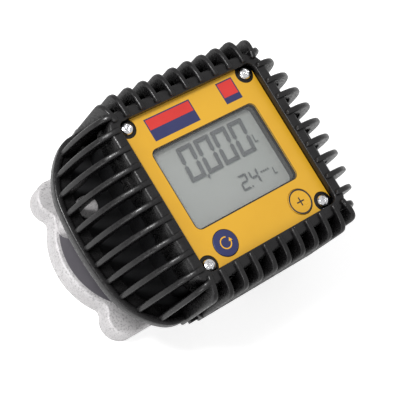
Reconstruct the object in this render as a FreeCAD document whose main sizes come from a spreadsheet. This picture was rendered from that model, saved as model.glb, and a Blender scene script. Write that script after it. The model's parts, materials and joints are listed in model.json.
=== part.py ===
import FreeCAD, Part
import math
import os
import re
import Sketcher
from FreeCAD import Placement, Rotation, Vector

# Turbine flow meter with a display head in a ribbed rubber boot, lying on its back.
# X runs across the display, Y up the display along the flow, Z out of the display.
# The origin is under the middle of the meter body. All sizes are millimetres.

SIZES = [
    # meter body
    ("plate_thickness", 12), ("plate_rounding", 2), ("belly_centre_x", 31), ("belly_centre_y", 0),
    ("belly_radius", 39.5),
    ("ear_centre_x", 55), ("ear_centre_y", 34), ("ear_radius", 10), ("valley_radius", 4),
    ("ear_hole_radius", 2.1), ("ear_hole_depth", 9), ("barrel_radius", 18), ("wrench_length", 13),
    ("wrench_rise", 1), ("floor_gap", 0.5), ("port_depth", 18), ("pad_width", 50), ("pad_length", 60),
    ("pad_rise", 0.5), ("pad_screw_inset", 7), ("gasket_rounding", 7), ("tap_depth", 9),
    ("lug_x", 57.5), ("lug_y", 18), ("lug_radius", 5.5), ("lug_rise", 0.9), ("lug_gap", 0.4),
    # flow passage
    ("passage_radius", 11.5), ("port_step", 0.56), ("chamber_step", 0.5), ("chamber_length", 26),
    ("ring_thickness", 1.2), ("ring_bite", 0.8), ("ring_width", 2.2), ("ring_setback", 1),
    ("ring_play", 0.3), ("ring_opening", 5), ("fit_gap", 0.05), ("strainer_thickness", 1.2),
    ("strainer_step", 0.3), ("strainer_hole", 1.3), ("strainer_pitch", 3.3), ("strainer_ring_count", 4),
    # straighteners, rotor, shaft and bearings
    ("vane_thickness", 1), ("vane_count", 5), ("hub_radius", 3.6), ("nose_length", 5),
    ("nose_setback", 1), ("straightener_length", 17), ("tube_wall", 0.9), ("shaft_radius", 1),
    ("shaft_gap", 0.05), ("bearing_wall", 1.2), ("bearing_length", 4), ("rotor_length", 14),
    ("blade_count", 6), ("blade_thickness", 1.1), ("blade_twist", 60), ("blade_margin", 1),
    ("blade_root", 0.5), ("tip_gap", 0.5), ("magnet_radius", 0.8), ("magnet_length", 3),
    ("magnet_offset", 2.1), ("hub_chamfer", 0.4), ("end_play", 0.3),
    # pickup
    ("pickup_radius", 3.6), ("pickup_gap", 0.2), ("pickup_wall", 2.4), ("pickup_length", 9),
    ("pickup_margin", 1), ("lead_radius", 0.6),
    # display housing
    ("gasket_thickness", 1), ("panel_inset", 0.5), ("housing_corner", 8), ("housing_wall", 2.5),
    ("housing_floor", 3), ("base_reach_x", 22.5), ("base_reach_y", 1.5), ("base_corner", 26),
    ("head_screw_radius", 2), ("head_screw_gap", 0.3), ("tap_radius", 1.65), ("post_radius", 4),
    # front panel, window and film
    ("panel_top", 76), ("film_thickness", 0.4), ("panel_thickness", 2.6), ("seal_thickness", 0.8),
    ("panel_width", 86), ("panel_height", 84), ("panel_corner", 7.5), ("window_margin_x", 11.5),
    ("window_margin_y", 20.75), ("window_corner", 3), ("window_y", 0.8), ("window_ledge", 0.5),
    ("lens_border", 1.5), ("lens_thickness", 1.6), ("lens_gap", 0.1), ("notch_radius", 5),
    ("screw_inset_x", 6.8), ("screw_inset_y", 5.4), ("screw_radius", 1.4), ("screw_head_radius", 3.2),
    ("screw_head_height", 2.1), ("screw_length", 11), ("screw_hole_gap", 0.3),
    # buttons
    ("reset_inset_x", 20.5), ("reset_inset_y", 10.7), ("cal_inset_x", 18.3), ("cal_inset_y", 10.5),
    ("button_radius", 6.5), ("button_gap", 0.25), ("button_rise", 0.3), ("button_flange", 0.5),
    ("button_edge", 0.3), ("flange_thickness", 0.9), ("button_travel", 0.8), ("button_seat", 0.2),
    ("switch_gap", 0.05),
    # electronics
    ("board_top", 64), ("board_thickness", 1.6), ("board_inset_x", 12), ("board_inset_y", 4),
    ("standoff_radius", 3), ("standoff_inset", 4), ("display_border_x", 0.5), ("display_border_y", 1.25),
    ("display_thickness", 2.8), ("display_top", 70.5), ("holder_wall", 1.4), ("strip_width", 2),
    ("strip_inset", 3.5), ("strip_margin", 3), ("switch_side", 6), ("switch_height", 3.5),
    # batteries and their wells
    ("battery_radius", 7.25), ("battery_length", 24.5), ("battery_knob_radius", 3),
    ("battery_knob_height", 0.8), ("battery_gap", 0.65), ("well_wall", 2.9), ("well_roof", 2),
    ("well_play", 0.3), ("well_inset", 2.3), ("well_y", 25), ("contact_thickness", 0.4),
    ("contact_margin", 1),
    # rubber boot
    ("opening_lap", 2), ("opening_corner", 4), ("frame_margin_x", 4), ("frame_margin_y", 3),
    ("boot_corner", 5), ("frame_rounding", 1.5), ("lip_height", 6), ("band_depth", 12),
    ("boot_gap", 0.3), ("skirt_wall", 3), ("skirt_step", 4.5), ("skirt_inset", 7), ("skirt_slope", 8),
    ("skirt_floor", 3), ("skirt_shoulder", 4), ("rim_lap", 1),
    ("hoop_bottom", 39.5), ("hoop_height", 6), ("hoop_wall", 3.6),
    ("side_overhang", 26), ("rim_overhang", 10), ("rim_inset", 11), ("rim_run", 3),
    ("side_arc", 150), ("side_sweep", 8.5), ("shoulder_arc", 40), ("shoulder_sweep", 45),
    ("corner_arc", 16), ("ledge_width", 8.2), ("ledge_thickness", 2),
    ("rib_thickness", 2.8), ("rib_depth", 8), ("rib_foot", 1.5), ("rib_sink", 0.2),
    ("side_rib_count", 9), ("end_rib_count", 9), ("corner_rib_inset_x", 5.5), ("corner_rib_inset_y", 1),
    ("corner_gap_x", 6.3), ("corner_gap_y", 7.4), ("side_splay", 4), ("end_splay", 10),
    ("splay_setback", 2), ("end_rib_reach", 8.5), ("end_rib_drop", 9), ("end_rib_tail", 10),
    ("tail_below", 2), ("tail_depth", 3.6),
    # body label
    ("label_inset", 3), ("label_thickness", 0.3), ("label_inner", 44),
]

# Sizes that follow from the ones above, so that pieces that fit together stay together.
DERIVED = [
    ("axis_height", "barrel_radius + wrench_rise + floor_gap"),
    ("wrench_flats", "2 * (barrel_radius + wrench_rise)"),
    ("pad_top", "axis_height + barrel_radius + pad_rise"),
    ("head_screw_x", "pad_width / 2 - pad_screw_inset"),
    ("head_screw_y", "pad_length / 2 - pad_screw_inset"),
    ("port_radius", "passage_radius + port_step"),
    ("chamber_radius", "passage_radius - chamber_step"),
    ("strainer_radius", "passage_radius + strainer_step"),
    ("ring_seat", "ring_play + ring_thickness + ring_setback"),
    ("passage_length", "chamber_length + 2 * (straightener_length + ring_seat)"),
    ("body_length", "passage_length + 2 * port_depth"),
    ("bearing_radius", "shaft_radius + bearing_wall"),
    ("rotor_tip", "chamber_radius - tip_gap"),
    ("pickup_floor", "axis_height + chamber_radius + pickup_wall"),
    ("housing_bottom", "pad_top + gasket_thickness"),
    ("floor_top", "housing_bottom + housing_floor"),
    ("lug_top", "floor_top + lug_rise"),
    ("panel_face", "panel_top - film_thickness"),
    ("panel_back", "panel_face - panel_thickness"),
    ("rim_top", "panel_back - seal_thickness"),
    ("housing_width", "panel_width + 2 * panel_inset"),
    ("housing_height", "panel_height + 2 * panel_inset"),
    ("base_width", "housing_width + 2 * base_reach_x"),
    ("base_height", "housing_height + 2 * base_reach_y"),
    ("screw_x", "panel_width / 2 - screw_inset_x"),
    ("screw_y", "panel_height / 2 - screw_inset_y"),
    ("reset_x", "reset_inset_x - panel_width / 2"),
    ("reset_y", "reset_inset_y - panel_height / 2"),
    ("cal_x", "panel_width / 2 - cal_inset_x"),
    ("cal_y", "cal_inset_y - panel_height / 2"),
    ("hole_radius", "button_radius + button_gap"),
    ("flange_radius", "hole_radius + button_flange"),
    ("flange_top", "panel_back - button_seat"),
    ("board_bottom", "board_top - board_thickness"),
    ("board_width", "panel_width - 2 * board_inset_x"),
    ("board_height", "panel_height - 2 * board_inset_y"),
    ("standoff_x", "board_width / 2 - standoff_inset"),
    ("standoff_y", "board_height / 2 - standoff_inset"),
    ("window_width", "panel_width - 2 * window_margin_x"),
    ("window_height", "panel_height - 2 * window_margin_y"),
    ("display_width", "window_width + 2 * display_border_x"),
    ("display_height", "window_height + 2 * display_border_y"),
    ("well_bore", "battery_radius + battery_gap"),
    ("well_radius", "well_bore + well_wall"),
    ("well_x", "housing_width / 2 - well_inset"),
    ("well_top", "floor_top + 2 * contact_thickness + battery_length + battery_knob_height + well_play"),
    ("boot_top", "panel_top + lip_height"),
    ("boot_bottom", "panel_top - band_depth"),
    ("opening_width", "panel_width - 2 * opening_lap"),
    ("opening_height", "panel_height - 2 * opening_lap"),
    ("boot_width", "panel_width + 2 * frame_margin_x"),
    ("boot_height", "panel_height + 2 * frame_margin_y"),
    ("skirt_reach", "boot_height / 2 + skirt_step"),
    ("skirt_half_width", "boot_width / 2 - skirt_inset"),
    ("hoop_half_width", "boot_width / 2 + side_overhang"),
    ("rim_reach", "boot_height / 2 + rim_overhang"),
    ("rim_half_width", "boot_width / 2 - rim_inset"),
    ("corner_rib_x", "boot_width / 2 - corner_rib_inset_x"),
    ("corner_rib_y", "boot_height / 2 - corner_rib_inset_y"),
    ("end_rib_pitch", "2 * (corner_rib_x - corner_gap_x) / (end_rib_count - 1)"),
    ("side_rib_pitch", "2 * (corner_rib_y - corner_gap_y) / (side_rib_count - 1)"),
]

doc = FreeCAD.newDocument("TurbineFlowMeter")
sheet = doc.addObject("Spreadsheet::Sheet", "Sizes")
for row, (alias, value) in enumerate(SIZES + DERIVED, start=1):
    sheet.set(f"A{row}", alias)
    sheet.setAlias(f"B{row}", alias)
    sheet.set(f"B{row}", f"={value}")
    doc.recompute()
ALIASES = {alias for alias, _ in SIZES + DERIVED}

sub_parts = []


def bound(text):
    """Return an expression with its size names tied to the sheet."""
    return re.sub(r"\b[a-z]\w+\b", lambda word: f"Sizes.{word[0]}" if word[0] in ALIASES else word[0], text)


def number(text):
    """Return the value of an expression as a plain number."""
    return float(sheet.evalExpression(bound(str(text))))


def bind(item, **expressions):
    """Tie properties to expressions; a double underscore in a name stands for a dot."""
    for name, text in expressions.items():
        item.setExpression(name.replace("__", "."), bound(text))


def keep(item, label):
    """Name an object as one of the sub-parts that are written to a file."""
    item.Label = label
    sub_parts.append(item)
    return item


def new_body(label, base=("0", "0", "0"), turn=None):
    """Start a PartDesign body that is one sub-part, placed by expressions."""
    body = doc.addObject("PartDesign::Body", label)
    if turn:
        body.Placement = Placement(Vector(), turn)
    bind(body, Placement__Base__x=base[0], Placement__Base__y=base[1], Placement__Base__z=base[2])
    return keep(body, label)


def origin_feature(body, role):
    """Find one of the body's own origin planes or axes."""
    return next(item for item in body.Origin.OriginFeatures if item.Role == role)


def new_sketch(body, plane="XY_Plane", offset="0"):
    """Attach a sketch to one of the body's own origin planes."""
    sketch = body.newObject("Sketcher::SketchObject", f"{body.Name}_sketch")
    sketch.AttachmentSupport = [(origin_feature(body, plane), "")]
    sketch.MapMode = "FlatFace"
    bind(sketch, AttachmentOffset__Base__z=offset)
    return sketch


def pin_point(sketch, geometry, point, x, y):
    """Fix one point of a sketch at the coordinates that two expressions give."""
    for kind, text in (("DistanceX", x), ("DistanceY", y)):
        index = sketch.addConstraint(Sketcher.Constraint(kind, -1, 1, geometry, point, number(text)))
        sketch.setExpression(f"Constraints[{index}]", bound(text))


def draw_circle(sketch, radius, x="0", y="0"):
    """Draw a circle whose centre and radius are expressions."""
    centre = Vector(number(x), number(y), 0)
    circle = sketch.addGeometry(Part.Circle(centre, Vector(0, 0, 1), number(radius)))
    pin_point(sketch, circle, 3, x, y)
    index = sketch.addConstraint(Sketcher.Constraint("Radius", circle, number(radius)))
    sketch.setExpression(f"Constraints[{index}]", bound(radius))


def draw_polygon(sketch, corners):
    """Draw a closed outline of straight lines through corners given as expressions."""
    points = [Vector(number(x), number(y), 0) for x, y in corners]
    lines = []
    for place, point in enumerate(points):
        following = points[(place + 1) % len(points)]
        lines.append(sketch.addGeometry(Part.LineSegment(point, following)))
    for place, line in enumerate(lines):
        following = lines[(place + 1) % len(lines)]
        sketch.addConstraint(Sketcher.Constraint("Coincident", line, 2, following, 1))
        pin_point(sketch, line, 1, *corners[place])


def draw_rectangle(sketch, width, height, x="0", y="0"):
    """Draw a rectangle about a centre, all given as expressions."""
    left, right = f"{x} - ({width}) / 2", f"{x} + ({width}) / 2"
    low, high = f"{y} - ({height}) / 2", f"{y} + ({height}) / 2"
    draw_polygon(sketch, [(left, low), (right, low), (right, high), (left, high)])


def pad(body, sketch, length, midplane=False, downward=False):
    """Pad a sketch along its normal."""
    feature = body.newObject("PartDesign::Pad", f"{body.Name}_pad")
    feature.Profile = sketch
    feature.Midplane = midplane
    feature.Reversed = downward
    bind(feature, Length=length)
    doc.recompute()
    return feature


def pocket(body, sketch, depth, upward=False):
    """Cut a sketch into the body, below its plane unless it is told to cut above."""
    feature = body.newObject("PartDesign::Pocket", f"{body.Name}_pocket")
    feature.Profile = sketch
    feature.Reversed = upward
    bind(feature, Length=depth)
    doc.recompute()
    return feature


def spin(body, sketch, kind="PartDesign::Revolution", axis="V_Axis"):
    """Turn a sketch round one of its own axes, adding or cutting."""
    feature = body.newObject(kind, f"{body.Name}_turned")
    feature.Profile = sketch
    feature.ReferenceAxis = (sketch, [axis])
    feature.Angle = 360
    doc.recompute()
    return feature


def repeat_round(body, feature, axis_role, count):
    """Repeat a feature evenly round one of the body's axes."""
    pattern = body.newObject("PartDesign::PolarPattern", f"{body.Name}_pattern")
    pattern.Originals = [feature]
    pattern.Axis = (origin_feature(body, axis_role), [""])
    pattern.Angle = 360
    bind(pattern, Occurrences=count)
    body.Tip = pattern
    doc.recompute()
    return pattern


def edges_where(feature, test):
    """Name the edges of a feature's shape that pass a test."""
    return [f"Edge{place}" for place, edge in enumerate(feature.Shape.Edges, start=1) if test(edge)]


def dress(body, base, kind, test, size):
    """Fillet or chamfer the edges of a feature that pass a test."""
    feature = body.newObject(f"PartDesign::{kind}", f"{body.Name}_{kind.lower()}")
    feature.Base = (base, edges_where(base, test))
    bind(feature, **{"Radius" if kind == "Fillet" else "Size": size})
    doc.recompute()
    return feature


def is_upright(edge):
    """Tell whether an edge runs straight up, from one vertex to another above it."""
    ends = [vertex.Point for vertex in edge.Vertexes]
    return len(ends) == 2 and math.dist(ends[0][:2], ends[1][:2]) < 1e-4


def lies_at(height):
    """Make a test for edges that lie whole at one height."""
    def test(edge):
        return all(abs(vertex.Z - height) < 1e-4 for vertex in edge.Vertexes)
    return test


def corners_of(x, y):
    """Return the four mirrored positions of a point, as expressions."""
    return [(f"{sx}({x})", f"{sy}({y})") for sx in ("", "-") for sy in ("", "-")]


def plate_body(label, width, height, corner, bottom, thickness):
    """Make a flat plate with rounded corners and return its body."""
    body = new_body(label, ("0", "0", bottom))
    sketch = new_sketch(body)
    draw_rectangle(sketch, width, height)
    plate = pad(body, sketch, thickness)
    dress(body, plate, "Fillet", is_upright, corner)
    return body


def cut_rectangle(body, width, height, y, corner, bottom, depth):
    """Cut a rectangular opening upward from a height in the body."""
    sketch = new_sketch(body, offset=bottom)
    draw_rectangle(sketch, width, height, "0", y)
    opening = pocket(body, sketch, depth, upward=True)
    if not corner:
        return opening
    half_width, half_height = number(width) / 2, number(height) / 2
    middle = number(y)

    def in_opening(edge):
        point = edge.Vertexes[0].Point
        at_side = abs(abs(point.x) - half_width) < 1e-4
        return is_upright(edge) and at_side and abs(abs(point.y - middle) - half_height) < 1e-4

    return dress(body, opening, "Fillet", in_opening, corner)


def cut_holes(body, radius, places, bottom, depth):
    """Cut round holes upward from a height in the body."""
    sketch = new_sketch(body, offset=bottom)
    for x, y in places:
        draw_circle(sketch, radius, x, y)
    return pocket(body, sketch, depth, upward=True)


# ---------------------------------------------------------------- meter body

def arc_through(centre, first, middle, last):
    """Arc about a centre that passes through the middle of three points."""
    turns = [math.atan2(point.y - centre.y, point.x - centre.x) for point in (first, middle, last)]
    if (turns[1] - turns[0]) % (2 * math.pi) > (turns[2] - turns[0]) % (2 * math.pi):
        turns.reverse()
    circle = Part.Circle(centre, Vector(0, 0, 1), first.distanceToPoint(centre))
    return Part.ArcOfCircle(circle, turns[0], turns[2])


def draw_plate_outline(sketch):
    """Draw the plate's outline: belly arcs at both sides, ears at the corners, valleys between."""
    belly = Vector(number("belly_centre_x"), 0, 0)
    ear = Vector(number("ear_centre_x"), number("ear_centre_y"), 0)
    belly_reach = number("belly_radius + valley_radius")
    ear_reach = number("ear_radius + valley_radius")
    apart = ear - belly
    along = (belly_reach ** 2 - ear_reach ** 2 + apart.Length ** 2) / (2 * apart.Length)
    aside = math.sqrt(belly_reach ** 2 - along ** 2)
    unit = Vector(apart).normalize()
    valley = belly + unit * along + Vector(unit.y, -unit.x, 0) * aside
    low = belly + (valley - belly) * (number("belly_radius") / belly_reach)
    high = ear + (valley - ear) * (number("ear_radius") / ear_reach)
    side = belly + Vector(number("belly_radius"), 0, 0)
    bend = valley + ((low + high) / 2 - valley).normalize() * number("valley_radius")
    top = ear + Vector(0, number("ear_radius"), 0)
    shoulder = ear + Vector(1, 0.6, 0).normalize() * number("ear_radius")

    def flipped(point, sign_x, sign_y):
        return Vector(point.x * sign_x, point.y * sign_y, 0)

    chain = []
    for sign in (1, -1):
        belly_points = [flipped(low, sign, -sign), flipped(side, sign, 1), flipped(low, sign, sign)]
        chain += [
            ("belly", sign, sign, belly_points),
            ("valley", sign, sign, [flipped(point, sign, sign) for point in (low, bend, high)]),
            ("ear", sign, sign, [flipped(point, sign, sign) for point in (high, shoulder, top)]),
            ("edge", sign, sign, [flipped(top, sign, sign), flipped(top, -sign, sign)]),
            ("ear", -sign, sign, [flipped(point, -sign, sign) for point in (top, shoulder, high)]),
            ("valley", -sign, sign, [flipped(point, -sign, sign) for point in (high, bend, low)]),
        ]
    centres = {"belly": belly, "valley": valley, "ear": ear}
    placed, rules, formulas = [], [], []
    for kind, sign_x, sign_y, points in chain:
        if kind == "edge":
            curve = Part.LineSegment(*points)
        else:
            curve = arc_through(flipped(centres[kind], sign_x, sign_y), *points)
        index = sketch.addGeometry(curve)
        starts_here = sketch.Geometry[index].StartPoint.distanceToPoint(points[0]) < 1e-6
        placed.append((index, 1 if starts_here else 2))
        if kind != "edge":
            rules.append(Sketcher.Constraint("Radius", index, number(f"{kind}_radius")))
            formulas.append(f"{kind}_radius")
        if kind in ("belly", "ear"):
            centre = (f"{sign_x} * {kind}_centre_x", f"{sign_y} * {kind}_centre_y")
            for direction, text in zip(("DistanceX", "DistanceY"), centre):
                rules.append(Sketcher.Constraint(direction, -1, 1, index, 3, number(text)))
                formulas.append(text)
    for (index, start), (following, next_start) in zip(placed, placed[1:] + placed[:1]):
        rules.append(Sketcher.Constraint("Tangent", index, 3 - start, following, next_start))
    for index, formula in zip(sketch.addConstraint(rules), formulas):
        sketch.setExpression(f"Constraints[{index}]", bound(formula))


LUGS = [("-lug_x", "lug_y"), ("lug_x", "-lug_y")]


def make_meter_body():
    """Cast body: round-bellied plate with ears and lugs, a barrel along Y and a pad for the head."""
    body = new_body("meter_body")
    sketch = new_sketch(body)
    draw_plate_outline(sketch)
    plate = pad(body, sketch, "plate_thickness")
    dress(body, plate, "Fillet", lies_at(number("plate_thickness")), "plate_rounding")

    sketch = new_sketch(body)
    for x, y in LUGS:
        draw_circle(sketch, "lug_radius", x, y)
    pad(body, sketch, "lug_top")

    sketch = new_sketch(body, "XZ_Plane")
    draw_circle(sketch, "barrel_radius", "0", "axis_height")
    pad(body, sketch, "body_length", midplane=True)
    flats_start = "(body_length / 2 - wrench_length)"
    for start, downward in ((flats_start, False), (f"-{flats_start}", True)):
        sketch = new_sketch(body, "XZ_Plane", start)
        across = "(wrench_flats / sqrt(3))"
        corners = [(f"{across} * cos({turn} * 60)", f"axis_height + {across} * sin({turn} * 60)")
                   for turn in range(6)]
        draw_polygon(sketch, corners)
        pad(body, sketch, "wrench_length", downward=downward)
    sketch = new_sketch(body)
    draw_rectangle(sketch, "pad_width", "pad_length")
    pad(body, sketch, "pad_top")

    sketch = new_sketch(body, "YZ_Plane")
    end = "body_length / 2"
    seat = "passage_length / 2"
    step = "chamber_length / 2"
    groove = f"({seat} - ring_setback)"
    inner = f"({groove} - ring_thickness)"
    outline = []
    stations = [
        (f"{end} + wrench_rise", "port_radius"), (seat, "port_radius"),
        (seat, "passage_radius"), (groove, "passage_radius"),
        (groove, "passage_radius + ring_bite"), (inner, "passage_radius + ring_bite"),
        (inner, "passage_radius"), (step, "passage_radius"), (step, "chamber_radius"),
    ]
    seated = [
        stations[0], (f"({seat} + strainer_thickness)", "port_radius"),
        (f"({seat} + strainer_thickness)", "strainer_radius"), (seat, "strainer_radius")]
    outline += [(f"-({along})", f"axis_height + {out}") for along, out in seated + stations[2:]]
    outline += [(f"{along}", f"axis_height + {out}") for along, out in reversed(stations)]
    outline += [(f"{end} + wrench_rise", "axis_height"), (f"-({end} + wrench_rise)", "axis_height")]
    draw_polygon(sketch, outline)
    half = number("body_length / 2")
    level = number("axis_height")
    axis = sketch.addGeometry(Part.LineSegment(Vector(-half, level, 0), Vector(half, level, 0)), True)
    pin_point(sketch, axis, 1, f"-{end}", "axis_height")
    pin_point(sketch, axis, 2, end, "axis_height")
    spin(body, sketch, "PartDesign::Groove", "Axis0")
    cut_holes(body, "pickup_radius + pickup_gap", [("0", "0")], "pickup_floor", "pad_top")
    cut_holes(body, "tap_radius", corners_of("head_screw_x", "head_screw_y"),
              "pad_top - tap_depth", "pad_top")
    cut_holes(body, "ear_hole_radius", corners_of("ear_centre_x", "ear_centre_y"), "0", "ear_hole_depth")
    return body


def make_body_label():
    """Dark label on the left belly of the plate, following its outline."""
    body = new_body("body_label", ("0", "0", "plate_thickness"))
    sketch = new_sketch(body)
    draw_circle(sketch, "belly_radius - label_inset", "-belly_centre_x")
    pad(body, sketch, "label_thickness")
    sketch = new_sketch(body)
    reach = "(4 * belly_radius)"
    draw_rectangle(sketch, reach, reach, f"{reach} / 2 - label_inner")
    disc = pocket(body, sketch, "label_thickness", upward=True)
    dress(body, disc, "Fillet", is_upright, "label_inset")
    cut_holes(body, "lug_radius + lug_gap", LUGS[:1], "0", "label_thickness")
    return body


# ---------------------------------------------------------------- flow parts

ALONG_FLOW = Rotation(Vector(1, 0, 0), -90)
AGAINST_FLOW = Rotation(Vector(1, 0, 0), 90)


def make_straightener(label, sign, turn):
    """Tube with vanes that holds the bearing in its hub; its nose points out of the port."""
    body = new_body(label, ("0", f"{sign}(chamber_length / 2)", "axis_height"), turn)
    outer = "(passage_radius - fit_gap)"
    sketch = new_sketch(body, "XZ_Plane")
    draw_polygon(sketch, [
        (f"{outer} - tube_wall", "0"), (outer, "0"), (outer, "straightener_length"),
        (f"{outer} - tube_wall", "straightener_length")])
    spin(body, sketch)
    sketch = new_sketch(body)
    draw_rectangle(sketch, f"{outer} - tube_wall / 2", "vane_thickness", f"({outer} - tube_wall / 2) / 2")
    vane = pad(body, sketch, "straightener_length")
    repeat_round(body, vane, "Z_Axis", "vane_count")
    sketch = new_sketch(body, "XZ_Plane")
    tip = "straightener_length - nose_setback"
    draw_polygon(sketch, [
        ("0", "0"), ("hub_radius", "0"), ("hub_radius", f"{tip} - nose_length"),
        ("hub_radius * 0.75", f"{tip} - nose_length / 2"), ("hub_radius * 0.3", tip), ("0", tip)])
    spin(body, sketch)
    cut_holes(body, "bearing_radius", [("0", "0")], "0", "bearing_length")
    return body


def make_bearing(label, sign, turn):
    """Plain bush in the hub of a straightener."""
    body = new_body(label, ("0", f"{sign}(chamber_length / 2)", "axis_height"), turn)
    sketch = new_sketch(body)
    draw_circle(sketch, "bearing_radius")
    draw_circle(sketch, "shaft_radius + shaft_gap")
    pad(body, sketch, "bearing_length")
    return body


def make_rotor():
    """Hub with helical blades: each blade is a loft through turned sections."""
    body = new_body("rotor", ("0", "0", "axis_height"), ALONG_FLOW)
    sketch = new_sketch(body, "XZ_Plane")
    half = "rotor_length / 2"
    draw_polygon(sketch, [
        ("shaft_radius", f"-{half}"), ("hub_radius - hub_chamfer", f"-{half}"),
        ("hub_radius", f"-{half} + hub_chamfer"), ("hub_radius", f"{half} - hub_chamfer"),
        ("hub_radius - hub_chamfer", half), ("shaft_radius", half)])
    spin(body, sketch)
    sections = []
    for step in range(5):
        share = step / 4 - 0.5
        section = new_sketch(body, "XY_Plane", f"(rotor_length - 2 * blade_margin) * {share}")
        bind(section, AttachmentOffset__Rotation__Angle=f"blade_twist * {share} * 1deg")
        inner, outer = "(hub_radius - blade_root)", "rotor_tip"
        draw_rectangle(section, f"{outer} - {inner}", "blade_thickness", f"({outer} + {inner}) / 2")
        sections.append(section)
    blade = body.newObject("PartDesign::AdditiveLoft", "blade")
    blade.Profile = sections[0]
    blade.Sections = sections[1:]
    blade.Ruled = False
    doc.recompute()
    repeat_round(body, blade, "Z_Axis", "blade_count")
    sketch = new_sketch(body, "XY_Plane", f"{half} - magnet_length")
    for side in ("", "-"):
        draw_circle(sketch, "magnet_radius", "0", f"{side}magnet_offset")
    pocket(body, sketch, "magnet_length", upward=True)
    return body


def make_rotor_magnets():
    """Two small magnets let into one end of the rotor hub."""
    body = keep(doc.addObject("Part::MultiFuse", "rotor_magnets"), "rotor_magnets")
    magnets = []
    for side in ("", "-"):
        magnet = doc.addObject("Part::Cylinder", "magnet")
        bind(magnet, Radius="magnet_radius", Height="magnet_length",
             Placement__Base__y="rotor_length / 2 - magnet_length",
             Placement__Base__z=f"axis_height - ({side}magnet_offset)")
        magnet.Placement.Rotation = ALONG_FLOW
        magnets.append(magnet)
    body.Shapes = magnets
    return body


def make_rotor_shaft():
    """Steel pin through the rotor, running in both bearings."""
    body = new_body("rotor_shaft", ("0", "0", "axis_height"), ALONG_FLOW)
    sketch = new_sketch(body)
    draw_circle(sketch, "shaft_radius")
    shaft = pad(body, sketch, "chamber_length + 2 * (bearing_length - end_play)", midplane=True)
    return dress(body, shaft, "Chamfer", lambda edge: True, "shaft_radius / 4")


def make_retaining_rings():
    """Two open spring rings in the grooves outside the straighteners."""
    rings = []
    for sign, turn in (("", ALONG_FLOW), ("-", AGAINST_FLOW)):
        body = doc.addObject("PartDesign::Body", "ring")
        body.Placement = Placement(Vector(), turn)
        bind(body, Placement__Base__y=f"{sign}(passage_length / 2 - ring_setback - ring_thickness)",
             Placement__Base__z="axis_height")
        sketch = new_sketch(body)
        draw_circle(sketch, "passage_radius + ring_bite - fit_gap")
        draw_circle(sketch, "passage_radius + ring_bite - ring_width")
        pad(body, sketch, "ring_thickness")
        sketch = new_sketch(body)
        draw_rectangle(sketch, "ring_opening", "2 * passage_radius", "0", "passage_radius")
        pocket(body, sketch, "ring_thickness", upward=True)
        rings.append(body)
    group = keep(doc.addObject("Part::Compound", "retaining_rings"), "retaining_rings")
    group.Links = rings
    return group


def make_inlet_strainer():
    """Perforated disc that rests in its recess inside the inlet port."""
    start = "-(passage_length / 2)"
    body = new_body("inlet_strainer", ("0", start, "axis_height"), AGAINST_FLOW)
    sketch = new_sketch(body)
    draw_circle(sketch, "strainer_radius - fit_gap")
    pad(body, sketch, "strainer_thickness")
    for ring in range(int(number("strainer_ring_count"))):
        sketch = new_sketch(body)
        across = f"{ring} * strainer_pitch"
        draw_polygon(sketch, [
            (f"{across} + strainer_hole * cos({turn} * 60)", f"strainer_hole * sin({turn} * 60)")
            for turn in range(6)])
        hole = pocket(body, sketch, "strainer_thickness", upward=True)
        if ring:
            repeat_round(body, hole, "Z_Axis", str(6 * ring))
    return body


# ---------------------------------------------------------------- pickup

def make_pickup_sensor():
    """Magnetic pickup standing in its pocket over the rotor."""
    body = new_body("pickup_sensor", ("0", "0", "pickup_floor"))
    sketch = new_sketch(body)
    draw_circle(sketch, "pickup_radius")
    pad(body, sketch, "pickup_length")
    return body


def make_sensor_leads():
    """Two wires from the pickup up to the circuit board."""
    leads = []
    for side in ("", "-"):
        lead = doc.addObject("Part::Cylinder", "lead")
        bind(lead, Radius="lead_radius", Placement__Base__x=f"{side}2 * lead_radius",
             Placement__Base__z="pickup_floor + pickup_length",
             Height="board_bottom - pickup_floor - pickup_length")
        leads.append(lead)
    group = keep(doc.addObject("Part::Compound", "sensor_leads"), "sensor_leads")
    group.Links = leads
    return group


# ---------------------------------------------------------------- display housing

def make_base_gasket():
    """Flat gasket between the pad of the meter body and the display housing."""
    body = plate_body("base_gasket", "pad_width", "pad_length", "gasket_rounding",
                      "pad_top", "gasket_thickness")
    cut_holes(body, "pickup_radius + pickup_margin", [("0", "0")], "0", "gasket_thickness")
    cut_holes(body, "head_screw_radius + head_screw_gap", corners_of("head_screw_x", "head_screw_y"), "0",
              "gasket_thickness")
    return body


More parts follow.
